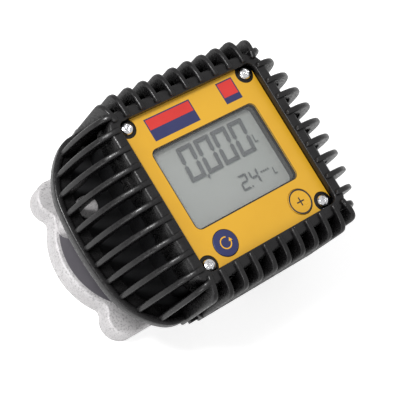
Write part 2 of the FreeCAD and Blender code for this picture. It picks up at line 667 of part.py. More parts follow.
def make_display_housing():
    """Open box on a wide base, with corner posts, standoffs and two round battery wells on its right."""
    depth = "rim_top - housing_bottom"
    body = new_body("display_housing", ("0", "0", "housing_bottom"))
    sketch = new_sketch(body)
    draw_rectangle(sketch, "housing_width", "housing_height")
    block = pad(body, sketch, depth)
    block = dress(body, block, "Fillet", is_upright, "housing_corner")
    sketch = new_sketch(body)
    draw_rectangle(sketch, "base_width", "base_height")
    base = pad(body, sketch, "housing_floor")
    half_base = number("base_width") / 2

    def at_base_end(edge):
        return is_upright(edge) and abs(abs(edge.Vertexes[0].X) - half_base) < 1e-4

    dress(body, base, "Fillet", at_base_end, "base_corner")
    well_places = [("well_x", "well_y"), ("well_x", "-well_y")]
    sketch = new_sketch(body)
    for x, y in well_places:
        draw_circle(sketch, "well_radius", x, y)
    pad(body, sketch, "well_top + well_roof - housing_bottom")
    sketch = new_sketch(body, offset="housing_floor")
    draw_rectangle(sketch, "housing_width - 2 * housing_wall", "housing_height - 2 * housing_wall")
    pocket(body, sketch, depth, upward=True)
    sketch = new_sketch(body)
    for x, y in corners_of("screw_x", "screw_y"):
        draw_circle(sketch, "post_radius", x, y)
    pad(body, sketch, depth)
    sketch = new_sketch(body)
    for x, y in corners_of("standoff_x", "standoff_y"):
        draw_circle(sketch, "standoff_radius", x, y)
    pad(body, sketch, "board_bottom - housing_bottom")
    cut_holes(body, "well_bore", well_places, "housing_floor", "well_top - housing_bottom - housing_floor")
    cut_holes(body, "screw_radius", corners_of("screw_x", "screw_y"), f"{depth} - screw_length", "screw_length")
    cut_holes(body, "head_screw_radius + head_screw_gap", corners_of("head_screw_x", "head_screw_y"), "0",
              "housing_floor")
    cut_holes(body, "pickup_radius + pickup_margin", [("0", "0")], "0", "housing_floor")
    cut_holes(body, "lug_radius + lug_gap", LUGS, "0", "housing_floor")
    return body


def make_round_screws(label, radius, length, head_radius, head_height, places, seat):
    """Cross-head screws as one group: domed heads with a cross recess on plain shanks."""
    screws = []
    for x, y in places:
        body = doc.addObject("PartDesign::Body", f"{label}_one")
        bind(body, Placement__Base__x=x, Placement__Base__y=y, Placement__Base__z=seat)
        sketch = new_sketch(body, "XZ_Plane")
        draw_polygon(sketch, [
            ("0", f"-({length})"), (radius, f"-({length})"), (radius, "0"), (head_radius, "0"),
            (head_radius, f"({head_height}) * 0.4"), (f"({head_radius}) * 0.86", f"({head_height}) * 0.75"),
            (f"({head_radius}) * 0.55", head_height), ("0", head_height)])
        spin(body, sketch)
        for long_side in (True, False):
            sketch = new_sketch(body, offset=f"({head_height}) * 0.35")
            sides = (f"({head_radius}) * 1.2", f"({head_radius}) * 0.28")
            draw_rectangle(sketch, *(sides if long_side else sides[::-1]))
            pocket(body, sketch, head_height, upward=True)
        screws.append(body)
    group = keep(doc.addObject("Part::Compound", label), label)
    group.Links = screws
    return group


# ---------------------------------------------------------------- front panel

def make_panel_gasket():
    """Thin gasket on the rim of the housing under the panel."""
    body = plate_body("panel_gasket", "panel_width", "panel_height", "panel_corner",
                      "rim_top", "seal_thickness")
    cut_rectangle(body, "housing_width - 2 * housing_wall", "housing_height - 2 * housing_wall",
                  "0", None, "0", "seal_thickness")
    sketch = new_sketch(body)
    for x, y in corners_of("screw_x", "screw_y"):
        draw_circle(sketch, "post_radius", x, y)
    pad(body, sketch, "seal_thickness")
    cut_holes(body, "screw_radius + screw_hole_gap", corners_of("screw_x", "screw_y"), "0", "seal_thickness")
    return body


def make_front_panel():
    """Panel plate with the window opening, a rabbet for the lens and the button holes."""
    body = plate_body("front_panel", "panel_width", "panel_height", "panel_corner",
                      "panel_back", "panel_thickness")
    cut_rectangle(body, "window_width - 2 * window_ledge", "window_height - 2 * window_ledge", "window_y",
                  "window_corner", "0", "panel_thickness")
    cut_rectangle(body, "window_width + 2 * lens_border", "window_height + 2 * lens_border", "window_y",
                  "window_corner", "panel_thickness - lens_thickness", "lens_thickness")
    cut_holes(body, "hole_radius", [("reset_x", "reset_y"), ("cal_x", "cal_y")], "0", "panel_thickness")
    cut_holes(body, "screw_radius + screw_hole_gap", corners_of("screw_x", "screw_y"), "0", "panel_thickness")
    return body


def make_panel_film():
    """Yellow film over the panel, cut round the window, the buttons and the screws."""
    body = plate_body("panel_film", "panel_width", "panel_height", "panel_corner",
                      "panel_face", "film_thickness")
    cut_rectangle(body, "window_width", "window_height", "window_y", "window_corner", "0", "film_thickness")
    cut_holes(body, "hole_radius", [("reset_x", "reset_y"), ("cal_x", "cal_y")], "0", "film_thickness")
    cut_holes(body, "notch_radius", corners_of("screw_x", "screw_y"), "0", "film_thickness")
    reach = "panel_width"
    sketch = new_sketch(body)
    for x, y in corners_of(f"screw_x + {reach} / 2", f"screw_y + {reach} / 2"):
        draw_rectangle(sketch, reach, reach, x, y)
    pocket(body, sketch, "film_thickness", upward=True)
    return body


def make_window_lens():
    """Clear window in the rabbet of the panel."""
    width = "window_width + 2 * lens_border - 2 * lens_gap"
    height = "window_height + 2 * lens_border - 2 * lens_gap"
    body = new_body("window_lens", ("0", "window_y", "panel_face - lens_thickness"))
    sketch = new_sketch(body)
    draw_rectangle(sketch, width, height)
    plate = pad(body, sketch, "lens_thickness")
    return dress(body, plate, "Fillet", is_upright, "window_corner")


def make_button(label, x, y):
    """Round button with a flange that keeps it behind the panel."""
    body = new_body(label, (x, y, "flange_top - flange_thickness"))
    sketch = new_sketch(body, "XZ_Plane")
    top = "(panel_top + button_rise - flange_top + flange_thickness)"
    draw_polygon(sketch, [
        ("0", "0"), ("flange_radius", "0"), ("flange_radius", "flange_thickness"),
        ("button_radius", "flange_thickness"), ("button_radius", f"{top} - button_edge"),
        ("button_radius - button_edge", top), ("0", top)])
    spin(body, sketch)
    return body


# ---------------------------------------------------------------- electronics

def make_circuit_board():
    """Board on the four standoffs."""
    body = new_body("circuit_board", ("0", "0", "board_bottom"))
    sketch = new_sketch(body)
    draw_rectangle(sketch, "board_width", "board_height")
    board = pad(body, sketch, "board_thickness")
    dress(body, board, "Fillet", is_upright, "standoff_radius")
    return body


def make_display_module():
    """Glass display under the window."""
    body = new_body("display_module", ("0", "window_y", "display_top - display_thickness"))
    sketch = new_sketch(body)
    draw_rectangle(sketch, "display_width", "display_height")
    pad(body, sketch, "display_thickness")
    return body


def make_display_holder():
    """Frame that stands on the board, holds the display's edge and meets the panel."""
    body = new_body("display_holder", ("0", "window_y", "board_top"))
    height = "panel_back - board_top"
    sketch = new_sketch(body)
    draw_rectangle(sketch, "display_width + 2 * holder_wall", "display_height + 2 * holder_wall")
    pad(body, sketch, height)
    cut_rectangle(body, "window_width - 2 * window_ledge", "window_height - 2 * window_ledge", "0",
                  "window_corner", "0", height)
    cut_rectangle(body, "display_width", "display_height", "0", None, "0", "display_top - board_top")
    return body


def make_display_strips():
    """Two rubber connector strips between the board and the display."""
    strips = []
    for side in ("", "-"):
        strip = doc.addObject("Part::Box", "strip")
        bind(strip, Length="display_width - 2 * strip_margin", Width="strip_width",
             Height="display_top - display_thickness - board_top",
             Placement__Base__x="strip_margin - display_width / 2", Placement__Base__z="board_top",
             Placement__Base__y=f"window_y + {side}(display_height / 2 - strip_inset) - strip_width / 2")
        strips.append(strip)
    group = keep(doc.addObject("Part::Compound", "display_strips"), "display_strips")
    group.Links = strips
    return group


def make_button_switches():
    """Two push switches on the board under the buttons."""
    switches = []
    stem = "flange_top - flange_thickness - button_travel - switch_gap - board_top"
    for x, y in (("reset_x", "reset_y"), ("cal_x", "cal_y")):
        body = doc.addObject("PartDesign::Body", "switch")
        bind(body, Placement__Base__x=x, Placement__Base__y=y, Placement__Base__z="board_top")
        sketch = new_sketch(body)
        draw_rectangle(sketch, "switch_side", "switch_side")
        pad(body, sketch, "switch_height")
        sketch = new_sketch(body)
        draw_circle(sketch, "switch_side / 4")
        pad(body, sketch, stem)
        switches.append(body)
    group = keep(doc.addObject("Part::Compound", "button_switches"), "button_switches")
    group.Links = switches
    return group


def make_battery(label, sign):
    """Cylindrical cell with its top knob, standing in a battery well."""
    body = new_body(label, ("well_x", f"{sign}well_y", "floor_top + contact_thickness"))
    sketch = new_sketch(body)
    draw_circle(sketch, "battery_radius")
    pad(body, sketch, "battery_length")
    sketch = new_sketch(body)
    draw_circle(sketch, "battery_knob_radius")
    pad(body, sketch, "battery_length + battery_knob_height")
    return body


def make_battery_contacts():
    """Contact plates under and over both cells."""
    contacts = []
    over = "floor_top + contact_thickness + battery_length + battery_knob_height"
    for sign in ("", "-"):
        for height in ("floor_top", over):
            contact = doc.addObject("Part::Cylinder", "contact")
            bind(contact, Radius="battery_radius - contact_margin", Height="contact_thickness",
                 Placement__Base__x="well_x", Placement__Base__y=f"{sign}well_y", Placement__Base__z=height)
            contacts.append(contact)
    group = keep(doc.addObject("Part::Compound", "battery_contacts"), "battery_contacts")
    group.Links = contacts
    return group


# ---------------------------------------------------------------- rubber boot

def make_boot_frame():
    """Front frame of the boot: a lip over the panel and a band round the housing."""
    body = doc.addObject("PartDesign::Body", "boot_frame")
    bind(body, Placement__Base__z="boot_bottom")
    sketch = new_sketch(body)
    draw_rectangle(sketch, "boot_width", "boot_height")
    block = pad(body, sketch, "band_depth + lip_height")
    block = dress(body, block, "Fillet", is_upright, "boot_corner")
    height = number("band_depth + lip_height")
    dress(body, block, "Fillet", lies_at(height), "frame_rounding")
    cut_rectangle(body, "opening_width", "opening_height", "0", "opening_corner",
                  "0", "band_depth + lip_height")
    cut_rectangle(body, "housing_width", "housing_height", "0", "housing_corner", "0", "band_depth")
    cut_holes(body, "well_radius + boot_gap", [("well_x", "well_y"), ("well_x", "-well_y")], "0",
              "well_top + well_roof + boot_gap - boot_bottom")
    return body


def hoop_outline(inset):
    """Closed wire of the rear hoop: tangent arcs at the sides and a raised run at top and bottom."""
    edges = []
    radii = [number("side_arc"), number("shoulder_arc"), number("corner_arc")]
    side, shoulder = number("side_sweep"), number("shoulder_sweep")
    turns = [0, side, side + shoulder, 90]
    centre = Vector(number("hoop_half_width") - radii[0], 0, 0)
    for radius, start, end, following in zip(radii, turns, turns[1:], radii[1:] + [None]):
        reach = radius - inset
        bearings = [math.radians(turn) for turn in (start, (start + end) / 2, end)]
        points = [centre + Vector(math.cos(bearing), math.sin(bearing), 0) * reach for bearing in bearings]
        edges.append(Part.Arc(*points).toShape())
        last = points[-1]
        if following:
            direction = Vector(math.cos(math.radians(end)), math.sin(math.radians(end)), 0)
            centre = centre + direction * (radius - following)
    rim_end, rim_level = number("rim_half_width"), number("rim_reach") - inset
    step = Vector(rim_end + number("rim_run"), last.y, 0)
    rim = [step, Vector(rim_end, rim_level, 0), Vector(0, rim_level, 0)]
    edges += [Part.makeLine(start, end) for start, end in zip([last] + rim, rim)]
    quarter = Part.Wire(edges)
    half = [quarter, quarter.mirror(Vector(), Vector(1, 0, 0))]
    wires = half + [wire.mirror(Vector(), Vector(0, 1, 0)) for wire in half]
    return Part.Wire(Part.__sortEdges__([edge for wire in wires for edge in wire.Edges]))


def rib_solid(anchor, heading, reach, drop, tail_out, tail_down):
    """One rib: a thin plate that swings out from the frame and back to the hoop.

    The outer edge is a quarter ellipse of the given reach and drop, then a straight tail.
    """
    top = number("boot_top - rib_sink")
    depth, thickness = number("rib_depth"), number("rib_thickness")
    curve = []
    for step in range(9):
        angle = math.radians(90 - 90 * step / 8)
        curve.append(Vector(reach * math.cos(angle), 0, top - drop + drop * math.sin(angle)))
    inner = []
    within = max(reach - depth, 0)
    for step in range(4):
        angle = math.radians(90 * step / 3)
        inner.append(Vector(within * math.cos(angle), 0, top - drop + (drop - depth) * math.sin(angle)))
    outer_edge = Part.BSplineCurve()
    outer_edge.interpolate(curve)
    pieces = [outer_edge.toShape()]
    corner_out, corner_in = curve[-1], inner[0]
    if tail_down:
        low_out = Vector(tail_out, 0, top - drop - tail_down)
        low_in = Vector(tail_out - number("tail_depth"), 0, low_out.z)
        step_out = Vector(low_in.x, 0, number("hoop_bottom"))
        step_in = Vector(tail_out - depth, 0, step_out.z)
        corners = [corner_out, low_out, low_in, step_out, step_in, corner_in]
        pieces += [Part.makeLine(start, end) for start, end in zip(corners, corners[1:])]
    else:
        pieces.append(Part.makeLine(corner_out, corner_in))
    pieces += [Part.makeLine(start, end) for start, end in zip(inner, inner[1:] + curve[:1])]
    face = Part.Face(Part.Wire(pieces))
    solid = face.extrude(Vector(0, thickness, 0))
    solid.translate(Vector(0, -thickness / 2, 0))
    solid.rotate(Vector(), Vector(0, 0, 1), heading)
    solid.translate(Vector(*anchor, 0))
    return solid


def hoop_reach(outline, anchor, heading):
    """Distance from a point to the hoop's inner side along a heading in degrees."""
    start = Vector(*anchor, 0)
    direction = Vector(math.cos(math.radians(heading)), math.sin(math.radians(heading)), 0)
    ray = Part.makeLine(start, start + direction * number("boot_width"))
    return ray.distToShape(outline)[1][0][0].distanceToPoint(start)


def evenly(count, pitch):
    """Positions of a row of ribs about the middle."""
    middle = (number(count) - 1) / 2
    return [(place - middle) * number(pitch) for place in range(int(number(count)))]


def boot_ribs():
    """All ribs of the boot, one solid each."""
    inner = hoop_outline(number("hoop_wall"))
    foot = number("rib_foot")
    half_width, half_height = number("boot_width / 2") - foot, number("boot_height / 2") - foot
    side_drop = number("boot_top - hoop_bottom - hoop_height + 2 * rib_sink + rib_foot")
    end_drop = number("end_rib_drop")
    end_down = number("boot_top - end_rib_drop - hoop_bottom + tail_below")
    ribs = []
    corner_x, corner_y = number("corner_rib_x"), number("corner_rib_y")
    side_splay, end_splay = number("side_splay"), number("end_splay")
    for side in (1, -1):
        rows = [(along, 0) for along in evenly("side_rib_count", "side_rib_pitch")]
        rows += [(corner_y, side_splay), (-corner_y, -side_splay)]
        for along, splay in rows:
            anchor = (side * half_width, along)
            heading = splay if side > 0 else 180 - splay
            reach = hoop_reach(inner, anchor, heading) + foot
            ribs.append(rib_solid(anchor, heading, reach, side_drop, 0, 0))
        rows = [(along, 0) for along in evenly("end_rib_count", "end_rib_pitch")]
        rows += [(corner_x, -end_splay), (-corner_x, end_splay)]
        for along, splay in rows:
            shorter = number("splay_setback") if splay else 0
            reach = number("end_rib_reach") + foot - shorter
            tail = number("end_rib_tail") + foot - shorter
            anchor, heading = (along, side * half_height), side * (90 + splay)
            ribs.append(rib_solid(anchor, heading, reach, end_drop, tail, end_down))
    return ribs


def make_rubber_boot():
    """Boot in one piece: frame, skirts, ribs and the rear hoop, whose ledge lies over the housing's base."""
    solids = [make_boot_frame().Shape.copy()]
    half, reach, wall = number("skirt_half_width"), number("skirt_reach"), number("skirt_wall")
    low, high, slope = number("hoop_bottom"), number("panel_top"), number("skirt_slope")
    edge, inner, rim = number("boot_height / 2"), number("housing_height / 2"), number("rim_reach - rim_lap")
    floor, skirt_shoulder = low + number("skirt_floor"), number("skirt_shoulder")
    for side in (1, -1):
        outline = [
            (inner, high), (edge, high), (reach, high - slope), (reach, floor), (rim, floor), (rim, low),
            (reach - wall, low), (reach - wall, high - slope - skirt_shoulder), (inner, high - slope)]
        points = [Vector(-half, side * across, height) for across, height in outline]
        face = Part.Face(Part.makePolygon(points + points[:1]))
        solids.append(face.extrude(Vector(2 * half, 0, 0)))
    ring = Part.Face(hoop_outline(0)).cut(Part.Face(hoop_outline(number("hoop_wall"))))
    ring.translate(Vector(0, 0, low))
    solids.append(ring.extrude(Vector(0, 0, number("hoop_height"))))
    ledge = Part.Face(hoop_outline(0)).cut(Part.Face(hoop_outline(number("ledge_width"))))
    ledge.translate(Vector(0, 0, number("floor_top + boot_gap")))
    solids.append(ledge.extrude(Vector(0, 0, number("ledge_thickness"))))
    solids += boot_ribs()
    boot = keep(doc.addObject("Part::Feature", "rubber_boot"), "rubber_boot")
    boot.Shape = solids[0].multiFuse(solids[1:]).removeSplitter()
    return boot


make_meter_body()
make_body_label()
make_straightener("inlet_straightener", "-", AGAINST_FLOW)
make_straightener("outlet_straightener", "", ALONG_FLOW)
make_bearing("inlet_bearing", "-", AGAINST_FLOW)
make_bearing("outlet_bearing", "", ALONG_FLOW)
make_retaining_rings()
make_inlet_strainer()
make_rotor()
make_rotor_shaft()
make_rotor_magnets()
make_pickup_sensor()
make_sensor_leads()
make_base_gasket()
make_display_housing()
make_round_screws("housing_screws", "tap_radius", "tap_depth", "head_screw_radius * 1.75", "head_screw_radius",
                  corners_of("head_screw_x", "head_screw_y"), "floor_top")
make_circuit_board()
make_button_switches()
make_display_module()
make_display_strips()
make_display_holder()
make_battery("upper_battery", "")
make_battery("lower_battery", "-")
make_battery_contacts()
make_panel_gasket()
make_front_panel()
make_panel_film()
make_window_lens()
make_button("reset_button", "reset_x", "reset_y")
make_button("cal_button", "cal_x", "cal_y")
make_round_screws("panel_screws", "screw_radius", "screw_length", "screw_head_radius", "screw_head_height",
                  corners_of("screw_x", "screw_y"), "panel_face")
make_rubber_boot()

doc.recompute()
for item in doc.Objects:
    if "Invalid" in item.State or "Error" in item.State:
        raise RuntimeError(f"{item.Label} failed: {item.State}")
os.makedirs("parts", exist_ok=True)
for item in sub_parts:
    if item.Shape.isNull() or not item.Shape.isValid():
        raise RuntimeError(f"{item.Label} has no valid shape")
    item.Shape.exportStep(f"parts/{item.Label}.step")
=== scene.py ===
"""Turbine flow meter: finishes, printed and moulded detail, floor, lights and camera."""

import json
import logging
import math
from dataclasses import dataclass
from enum import Enum

import bpy
import numpy as np
from mathutils import Matrix, Vector

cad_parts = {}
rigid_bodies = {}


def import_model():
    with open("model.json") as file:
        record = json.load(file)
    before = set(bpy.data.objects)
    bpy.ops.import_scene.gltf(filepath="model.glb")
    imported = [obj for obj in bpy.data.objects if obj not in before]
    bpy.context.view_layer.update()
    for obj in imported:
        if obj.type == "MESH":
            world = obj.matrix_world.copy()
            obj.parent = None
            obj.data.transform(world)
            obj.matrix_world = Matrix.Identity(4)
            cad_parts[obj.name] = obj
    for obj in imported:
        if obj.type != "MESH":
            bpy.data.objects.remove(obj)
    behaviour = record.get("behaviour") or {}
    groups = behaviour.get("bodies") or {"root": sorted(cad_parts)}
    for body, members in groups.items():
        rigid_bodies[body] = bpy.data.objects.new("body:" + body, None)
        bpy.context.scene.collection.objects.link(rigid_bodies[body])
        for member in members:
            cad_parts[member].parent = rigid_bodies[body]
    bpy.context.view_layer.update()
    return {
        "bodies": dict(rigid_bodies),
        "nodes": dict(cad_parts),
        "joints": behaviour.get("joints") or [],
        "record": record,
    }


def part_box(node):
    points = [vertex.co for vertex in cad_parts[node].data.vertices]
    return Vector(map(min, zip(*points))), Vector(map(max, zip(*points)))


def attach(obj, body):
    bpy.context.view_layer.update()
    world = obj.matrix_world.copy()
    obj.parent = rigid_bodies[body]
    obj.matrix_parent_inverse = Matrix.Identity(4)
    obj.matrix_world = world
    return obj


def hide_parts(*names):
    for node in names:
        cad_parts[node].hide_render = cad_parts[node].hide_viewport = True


MM = 0.001
WHITE = (1, 1, 1, 1)
LOG = logging.getLogger("flow_meter")


# ---------------------------------------------------------------- shader helpers


class Graph:
    """Adds and links the nodes of one shader tree."""

    def __init__(self, tree: bpy.types.NodeTree) -> None:
        self.tree = tree

    def add(self, kind: str, values: dict | None = None, **settings: object) -> bpy.types.Node:
        """Add a node.

        Args:
            kind: the node's type name after "ShaderNode", or a full type name for group sockets.
            values: socket names or numbers and their constants.
            settings: properties of the node.

        Returns:
            The new node.
        """
        node = self.tree.nodes.new(kind if kind.startswith("Node") else f"ShaderNode{kind}")
        for name, setting in settings.items():
            setattr(node, name, setting)
        for socket, value in (values or {}).items():
            node.inputs[socket].default_value = value
        return node

    def link(self, source: bpy.types.NodeSocket, target: bpy.types.NodeSocket) -> None:
        """Link an output socket to an input socket."""
        self.tree.links.new(source, target)

    def math(self, operation: str, first: object, second: object) -> bpy.types.NodeSocket:
        """Combine two sockets or numbers with a math node and return its output."""
        node = self.add("Math", operation=operation)
        for place, item in enumerate((first, second)):
            if isinstance(item, bpy.types.NodeSocket):
                self.link(item, node.inputs[place])
            else:
                node.inputs[place].default_value = item
        return node.outputs[0]

    def ramp(self, source: bpy.types.NodeSocket, low: float, high: float,
             start: float = 0.0, end: float = 1.0) -> bpy.types.NodeSocket:
        """Map a range of a value smoothly onto another and return the output."""
        node = self.add("MapRange", {"From Min": low, "From Max": high, "To Min": start, "To Max": end},
                        interpolation_type="SMOOTHSTEP")
        self.link(source, node.inputs["Value"])
        return node.outputs["Result"]

    def mix(self, mask: bpy.types.NodeSocket, first: object, second: object) -> bpy.types.NodeSocket:
        """Mix two colours, given as sockets or tuples, by a mask and return the output."""
        node = self.add("Mix", data_type="RGBA")
        self.link(mask, node.inputs["Factor"])
        for name, item in ((6, first), (7, second)):
            if isinstance(item, bpy.types.NodeSocket):
                self.link(item, node.inputs[name])
            else:
                node.inputs[name].default_value = (*item, 1.0)
        return node.outputs[2]


class SurfaceGroup:
    """Node group shared by the finishes: rounded edges, grain, a slow mask and a painted shade mask."""

    INPUTS = {"Grain Scale": 900.0, "Grain Depth": 0.00002, "Mask Scale": 40.0, "Edge Radius": 0.0003,
              "Painted Shade Reach": 0.01}
    OUTPUTS = {"Normal": "Vector", "Mask": "Float", "Grain": "Float", "Edge": "Float", "Painted Shade": "Float"}
    MASK_RANGE = (0.35, 0.65)
    GRAIN_RANGE = (0.3, 0.7)
    EDGE_RANGE = (0.02, 0.3)
    PAINTED_SHADE_RANGE = (0.15, 0.75)
    BEVEL_SAMPLES = 6
    HOLLOW_SAMPLES = 8

    def __init__(self) -> None:
        tree = bpy.data.node_groups.new("surface_detail", "ShaderNodeTree")
        self.tree = tree
        for name, default in self.INPUTS.items():
            socket = tree.interface.new_socket(name, in_out="INPUT", socket_type="NodeSocketFloat")
            socket.default_value = default
        for name, kind in self.OUTPUTS.items():
            tree.interface.new_socket(name, in_out="OUTPUT", socket_type=f"NodeSocket{kind}")
        self.wire(Graph(tree))

    def wire(self, graph: Graph) -> None:
        """Build the group's inside.

        Normal is the bevel normal bumped by the grain. Edge is one minus the cosine between the
        bevel normal and the face normal, scaled up, so it is bright on edges only. Hollow is
        bright where the ambient occlusion is low; it marks where the finishes paint shade.
        """
        entry = graph.add("NodeGroupInput")
        leave = graph.add("NodeGroupOutput")
        place = graph.add("TexCoord")
        grain = graph.add("TexNoise", {"Detail": 3.0, "Roughness": 0.6})
        slow = graph.add("TexNoise", {"Detail": 4.0, "Roughness": 0.55})
        for noise, scale in ((grain, "Grain Scale"), (slow, "Mask Scale")):
            graph.link(place.outputs["Object"], noise.inputs["Vector"])
            graph.link(entry.outputs[scale], noise.inputs["Scale"])
        bevel = graph.add("Bevel", samples=self.BEVEL_SAMPLES)
        graph.link(entry.outputs["Edge Radius"], bevel.inputs["Radius"])
        bump = graph.add("Bump", {"Strength": 1.0})
        graph.link(entry.outputs["Grain Depth"], bump.inputs["Distance"])
        graph.link(grain.outputs["Fac"], bump.inputs["Height"])
        graph.link(bevel.outputs["Normal"], bump.inputs["Normal"])
        shape = graph.add("NewGeometry")
        dot = graph.add("VectorMath", operation="DOT_PRODUCT")
        graph.link(bevel.outputs["Normal"], dot.inputs[0])
        graph.link(shape.outputs["Normal"], dot.inputs[1])
        edge = graph.ramp(graph.math("SUBTRACT", 1.0, dot.outputs["Value"]), *self.EDGE_RANGE)
        graph.link(bump.outputs["Normal"], leave.inputs["Normal"])
        graph.link(graph.ramp(slow.outputs["Fac"], *self.MASK_RANGE), leave.inputs["Mask"])
        graph.link(graph.ramp(grain.outputs["Fac"], *self.GRAIN_RANGE), leave.inputs["Grain"])
        graph.link(edge, leave.inputs["Edge"])
        # Painted shade mask: ambient occlusion picks out recesses, which the finishes darken as shade.
        shelter = graph.add("AmbientOcclusion", samples=self.HOLLOW_SAMPLES)
        graph.link(entry.outputs["Painted Shade Reach"], shelter.inputs["Distance"])
        painted_shade = graph.ramp(shelter.outputs["AO"], *self.PAINTED_SHADE_RANGE, 1.0, 0.0)
        graph.link(painted_shade, leave.inputs["Painted Shade"])


@dataclass(frozen=True)
class Finish:
    """A procedural finish: two close colours, grain, softened edges and paler worn edges.

    grain_depth and edge_radius are in millimetres. hollow is how much painted shade sheltered places
    get: they lose their shine and darken toward painted_shade_tone times the first colour.
    """

    name: str
    first: tuple[float, float, float]
    second: tuple[float, float, float]
    edge: tuple[float, float, float]
    metallic: float = 0.0
    roughness: float = 0.5
    swing: float = 0.1
    grain_scale: float = 900.0
    grain_depth: float = 0.01
    mask_scale: float = 40.0
    edge_radius: float = 0.3
    coat: float = 0.0
    coat_roughness: float = 0.12
    specular: float = 0.5
    painted_shade: float = 0.0
    painted_shade_tone: float = 0.1

    def colour(self, graph: Graph, detail: bpy.types.Node) -> bpy.types.NodeSocket:
        """Return the first two colours mixed by the slow mask, paler on edges, with painted shade in
        recesses.
        """
        base = graph.mix(detail.outputs["Mask"], self.first, self.second)
        worn = graph.mix(detail.outputs["Edge"], base, self.edge)
        if not self.painted_shade:
            return worn
        # Painted shade: recesses found by ambient occlusion darken toward a dim copy of the first colour.
        depth = graph.math("MULTIPLY", detail.outputs["Painted Shade"], self.painted_shade)
        return graph.mix(depth, worn, tuple(self.painted_shade_tone * part for part in self.first))

    def build(self, group: SurfaceGroup) -> bpy.types.Material:
        """Make the material.

        Args:
            group: the shared node group for grain, masks and edges.

        Returns:
            The new material.
        """
        material = bpy.data.materials.new(self.name)
        material.use_nodes = True
        material.node_tree.nodes.clear()
        graph = Graph(material.node_tree)
        detail = graph.add("Group", node_tree=group.tree)
        detail.inputs["Grain Scale"].default_value = self.grain_scale
        detail.inputs["Grain Depth"].default_value = self.grain_depth * MM
        detail.inputs["Mask Scale"].default_value = self.mask_scale
        detail.inputs["Edge Radius"].default_value = self.edge_radius * MM
        surface = graph.add("BsdfPrincipled", {
            "Metallic": self.metallic, "Coat Weight": self.coat, "Coat Roughness": self.coat_roughness,
            "Specular IOR Level": self.specular})
        graph.link(self.colour(graph, detail), surface.inputs["Base Color"])
        smoothest, roughest = self.roughness - self.swing, self.roughness + self.swing
        rough = graph.ramp(detail.outputs["Grain"], 0.0, 1.0, smoothest, roughest)
        graph.link(rough, surface.inputs["Roughness"])
        graph.link(detail.outputs["Normal"], surface.inputs["Normal"])
        # Painted shade on the reflection: recesses lose their specular shine.
        if self.painted_shade:
            sheltered = self.specular * (1 - self.painted_shade)
            shine = graph.ramp(detail.outputs["Painted Shade"], 0.0, 1.0, self.specular, sheltered)
            graph.link(shine, surface.inputs["Specular IOR Level"])
        self.close(graph, surface)
        return material

    def close(self, graph: Graph, surface: bpy.types.Node) -> None:
        """Link the surface to the material output."""
        leave = graph.add("OutputMaterial")
        graph.link(surface.outputs[0], leave.inputs["Surface"])


@dataclass(frozen=True)
class ClearFinish(Finish):
    """A clear window: mostly transparent, with a reflection that grows at grazing angles."""

    haze: float = 0.03
    index: float = 1.35

    def close(self, graph: Graph, surface: bpy.types.Node) -> None:
        """Mix the surface over a transparent one by Fresnel plus a constant haze."""
        leave = graph.add("OutputMaterial")
        fresnel = graph.add("Fresnel", {"IOR": self.index})
        clear = graph.add("BsdfTransparent")
        mixed = graph.add("MixShader")
        graph.link(graph.math("ADD", fresnel.outputs["Fac"], self.haze), mixed.inputs["Fac"])
        graph.link(clear.outputs[0], mixed.inputs[1])
        graph.link(surface.outputs[0], mixed.inputs[2])
        graph.link(mixed.outputs[0], leave.inputs["Surface"])


@dataclass(frozen=True)
class SpeckledFinish(Finish):
    """A cast surface: the grain also darkens the colour in fine specks."""

    speck: tuple[float, float, float] = (0.3, 0.3, 0.3)
    share: float = 0.35
    below: float = 0.5

    def colour(self, graph: Graph, detail: bpy.types.Node) -> bpy.types.NodeSocket:
        """Return the base colour with the specks mixed in where the grain is low."""
        base = super().colour(graph, detail)
        specks = graph.ramp(detail.outputs["Grain"], 0.0, self.below, self.share, 0.0)
        return graph.mix(specks, base, self.speck)


class Slot(Enum):
    """The record's material slots."""

    CAST = "cast_aluminium"
    LABEL = "label_dark"
    WHITE = "white_plastic"
    BEARING = "bearing_plastic"
    SPRING = "spring_steel"
    STRAINER = "strainer_steel"
    ROTOR = "rotor_plastic"
    MAGNET = "magnet"
    BLACK = "black_plastic"
    LEAD = "lead_insulation"
    GASKET = "gasket_rubber"
    SCREW = "screw_steel"
    BOARD = "board_green"
    DISPLAY = "display_glass"
    STRIP = "strip_rubber"
    BATTERY = "battery_sleeve"
    FILM = "yellow_film"
    WINDOW = "clear_window"
    NAVY = "navy_button"
    YELLOW_KEY = "yellow_button"
    BOOT = "boot_rubber"


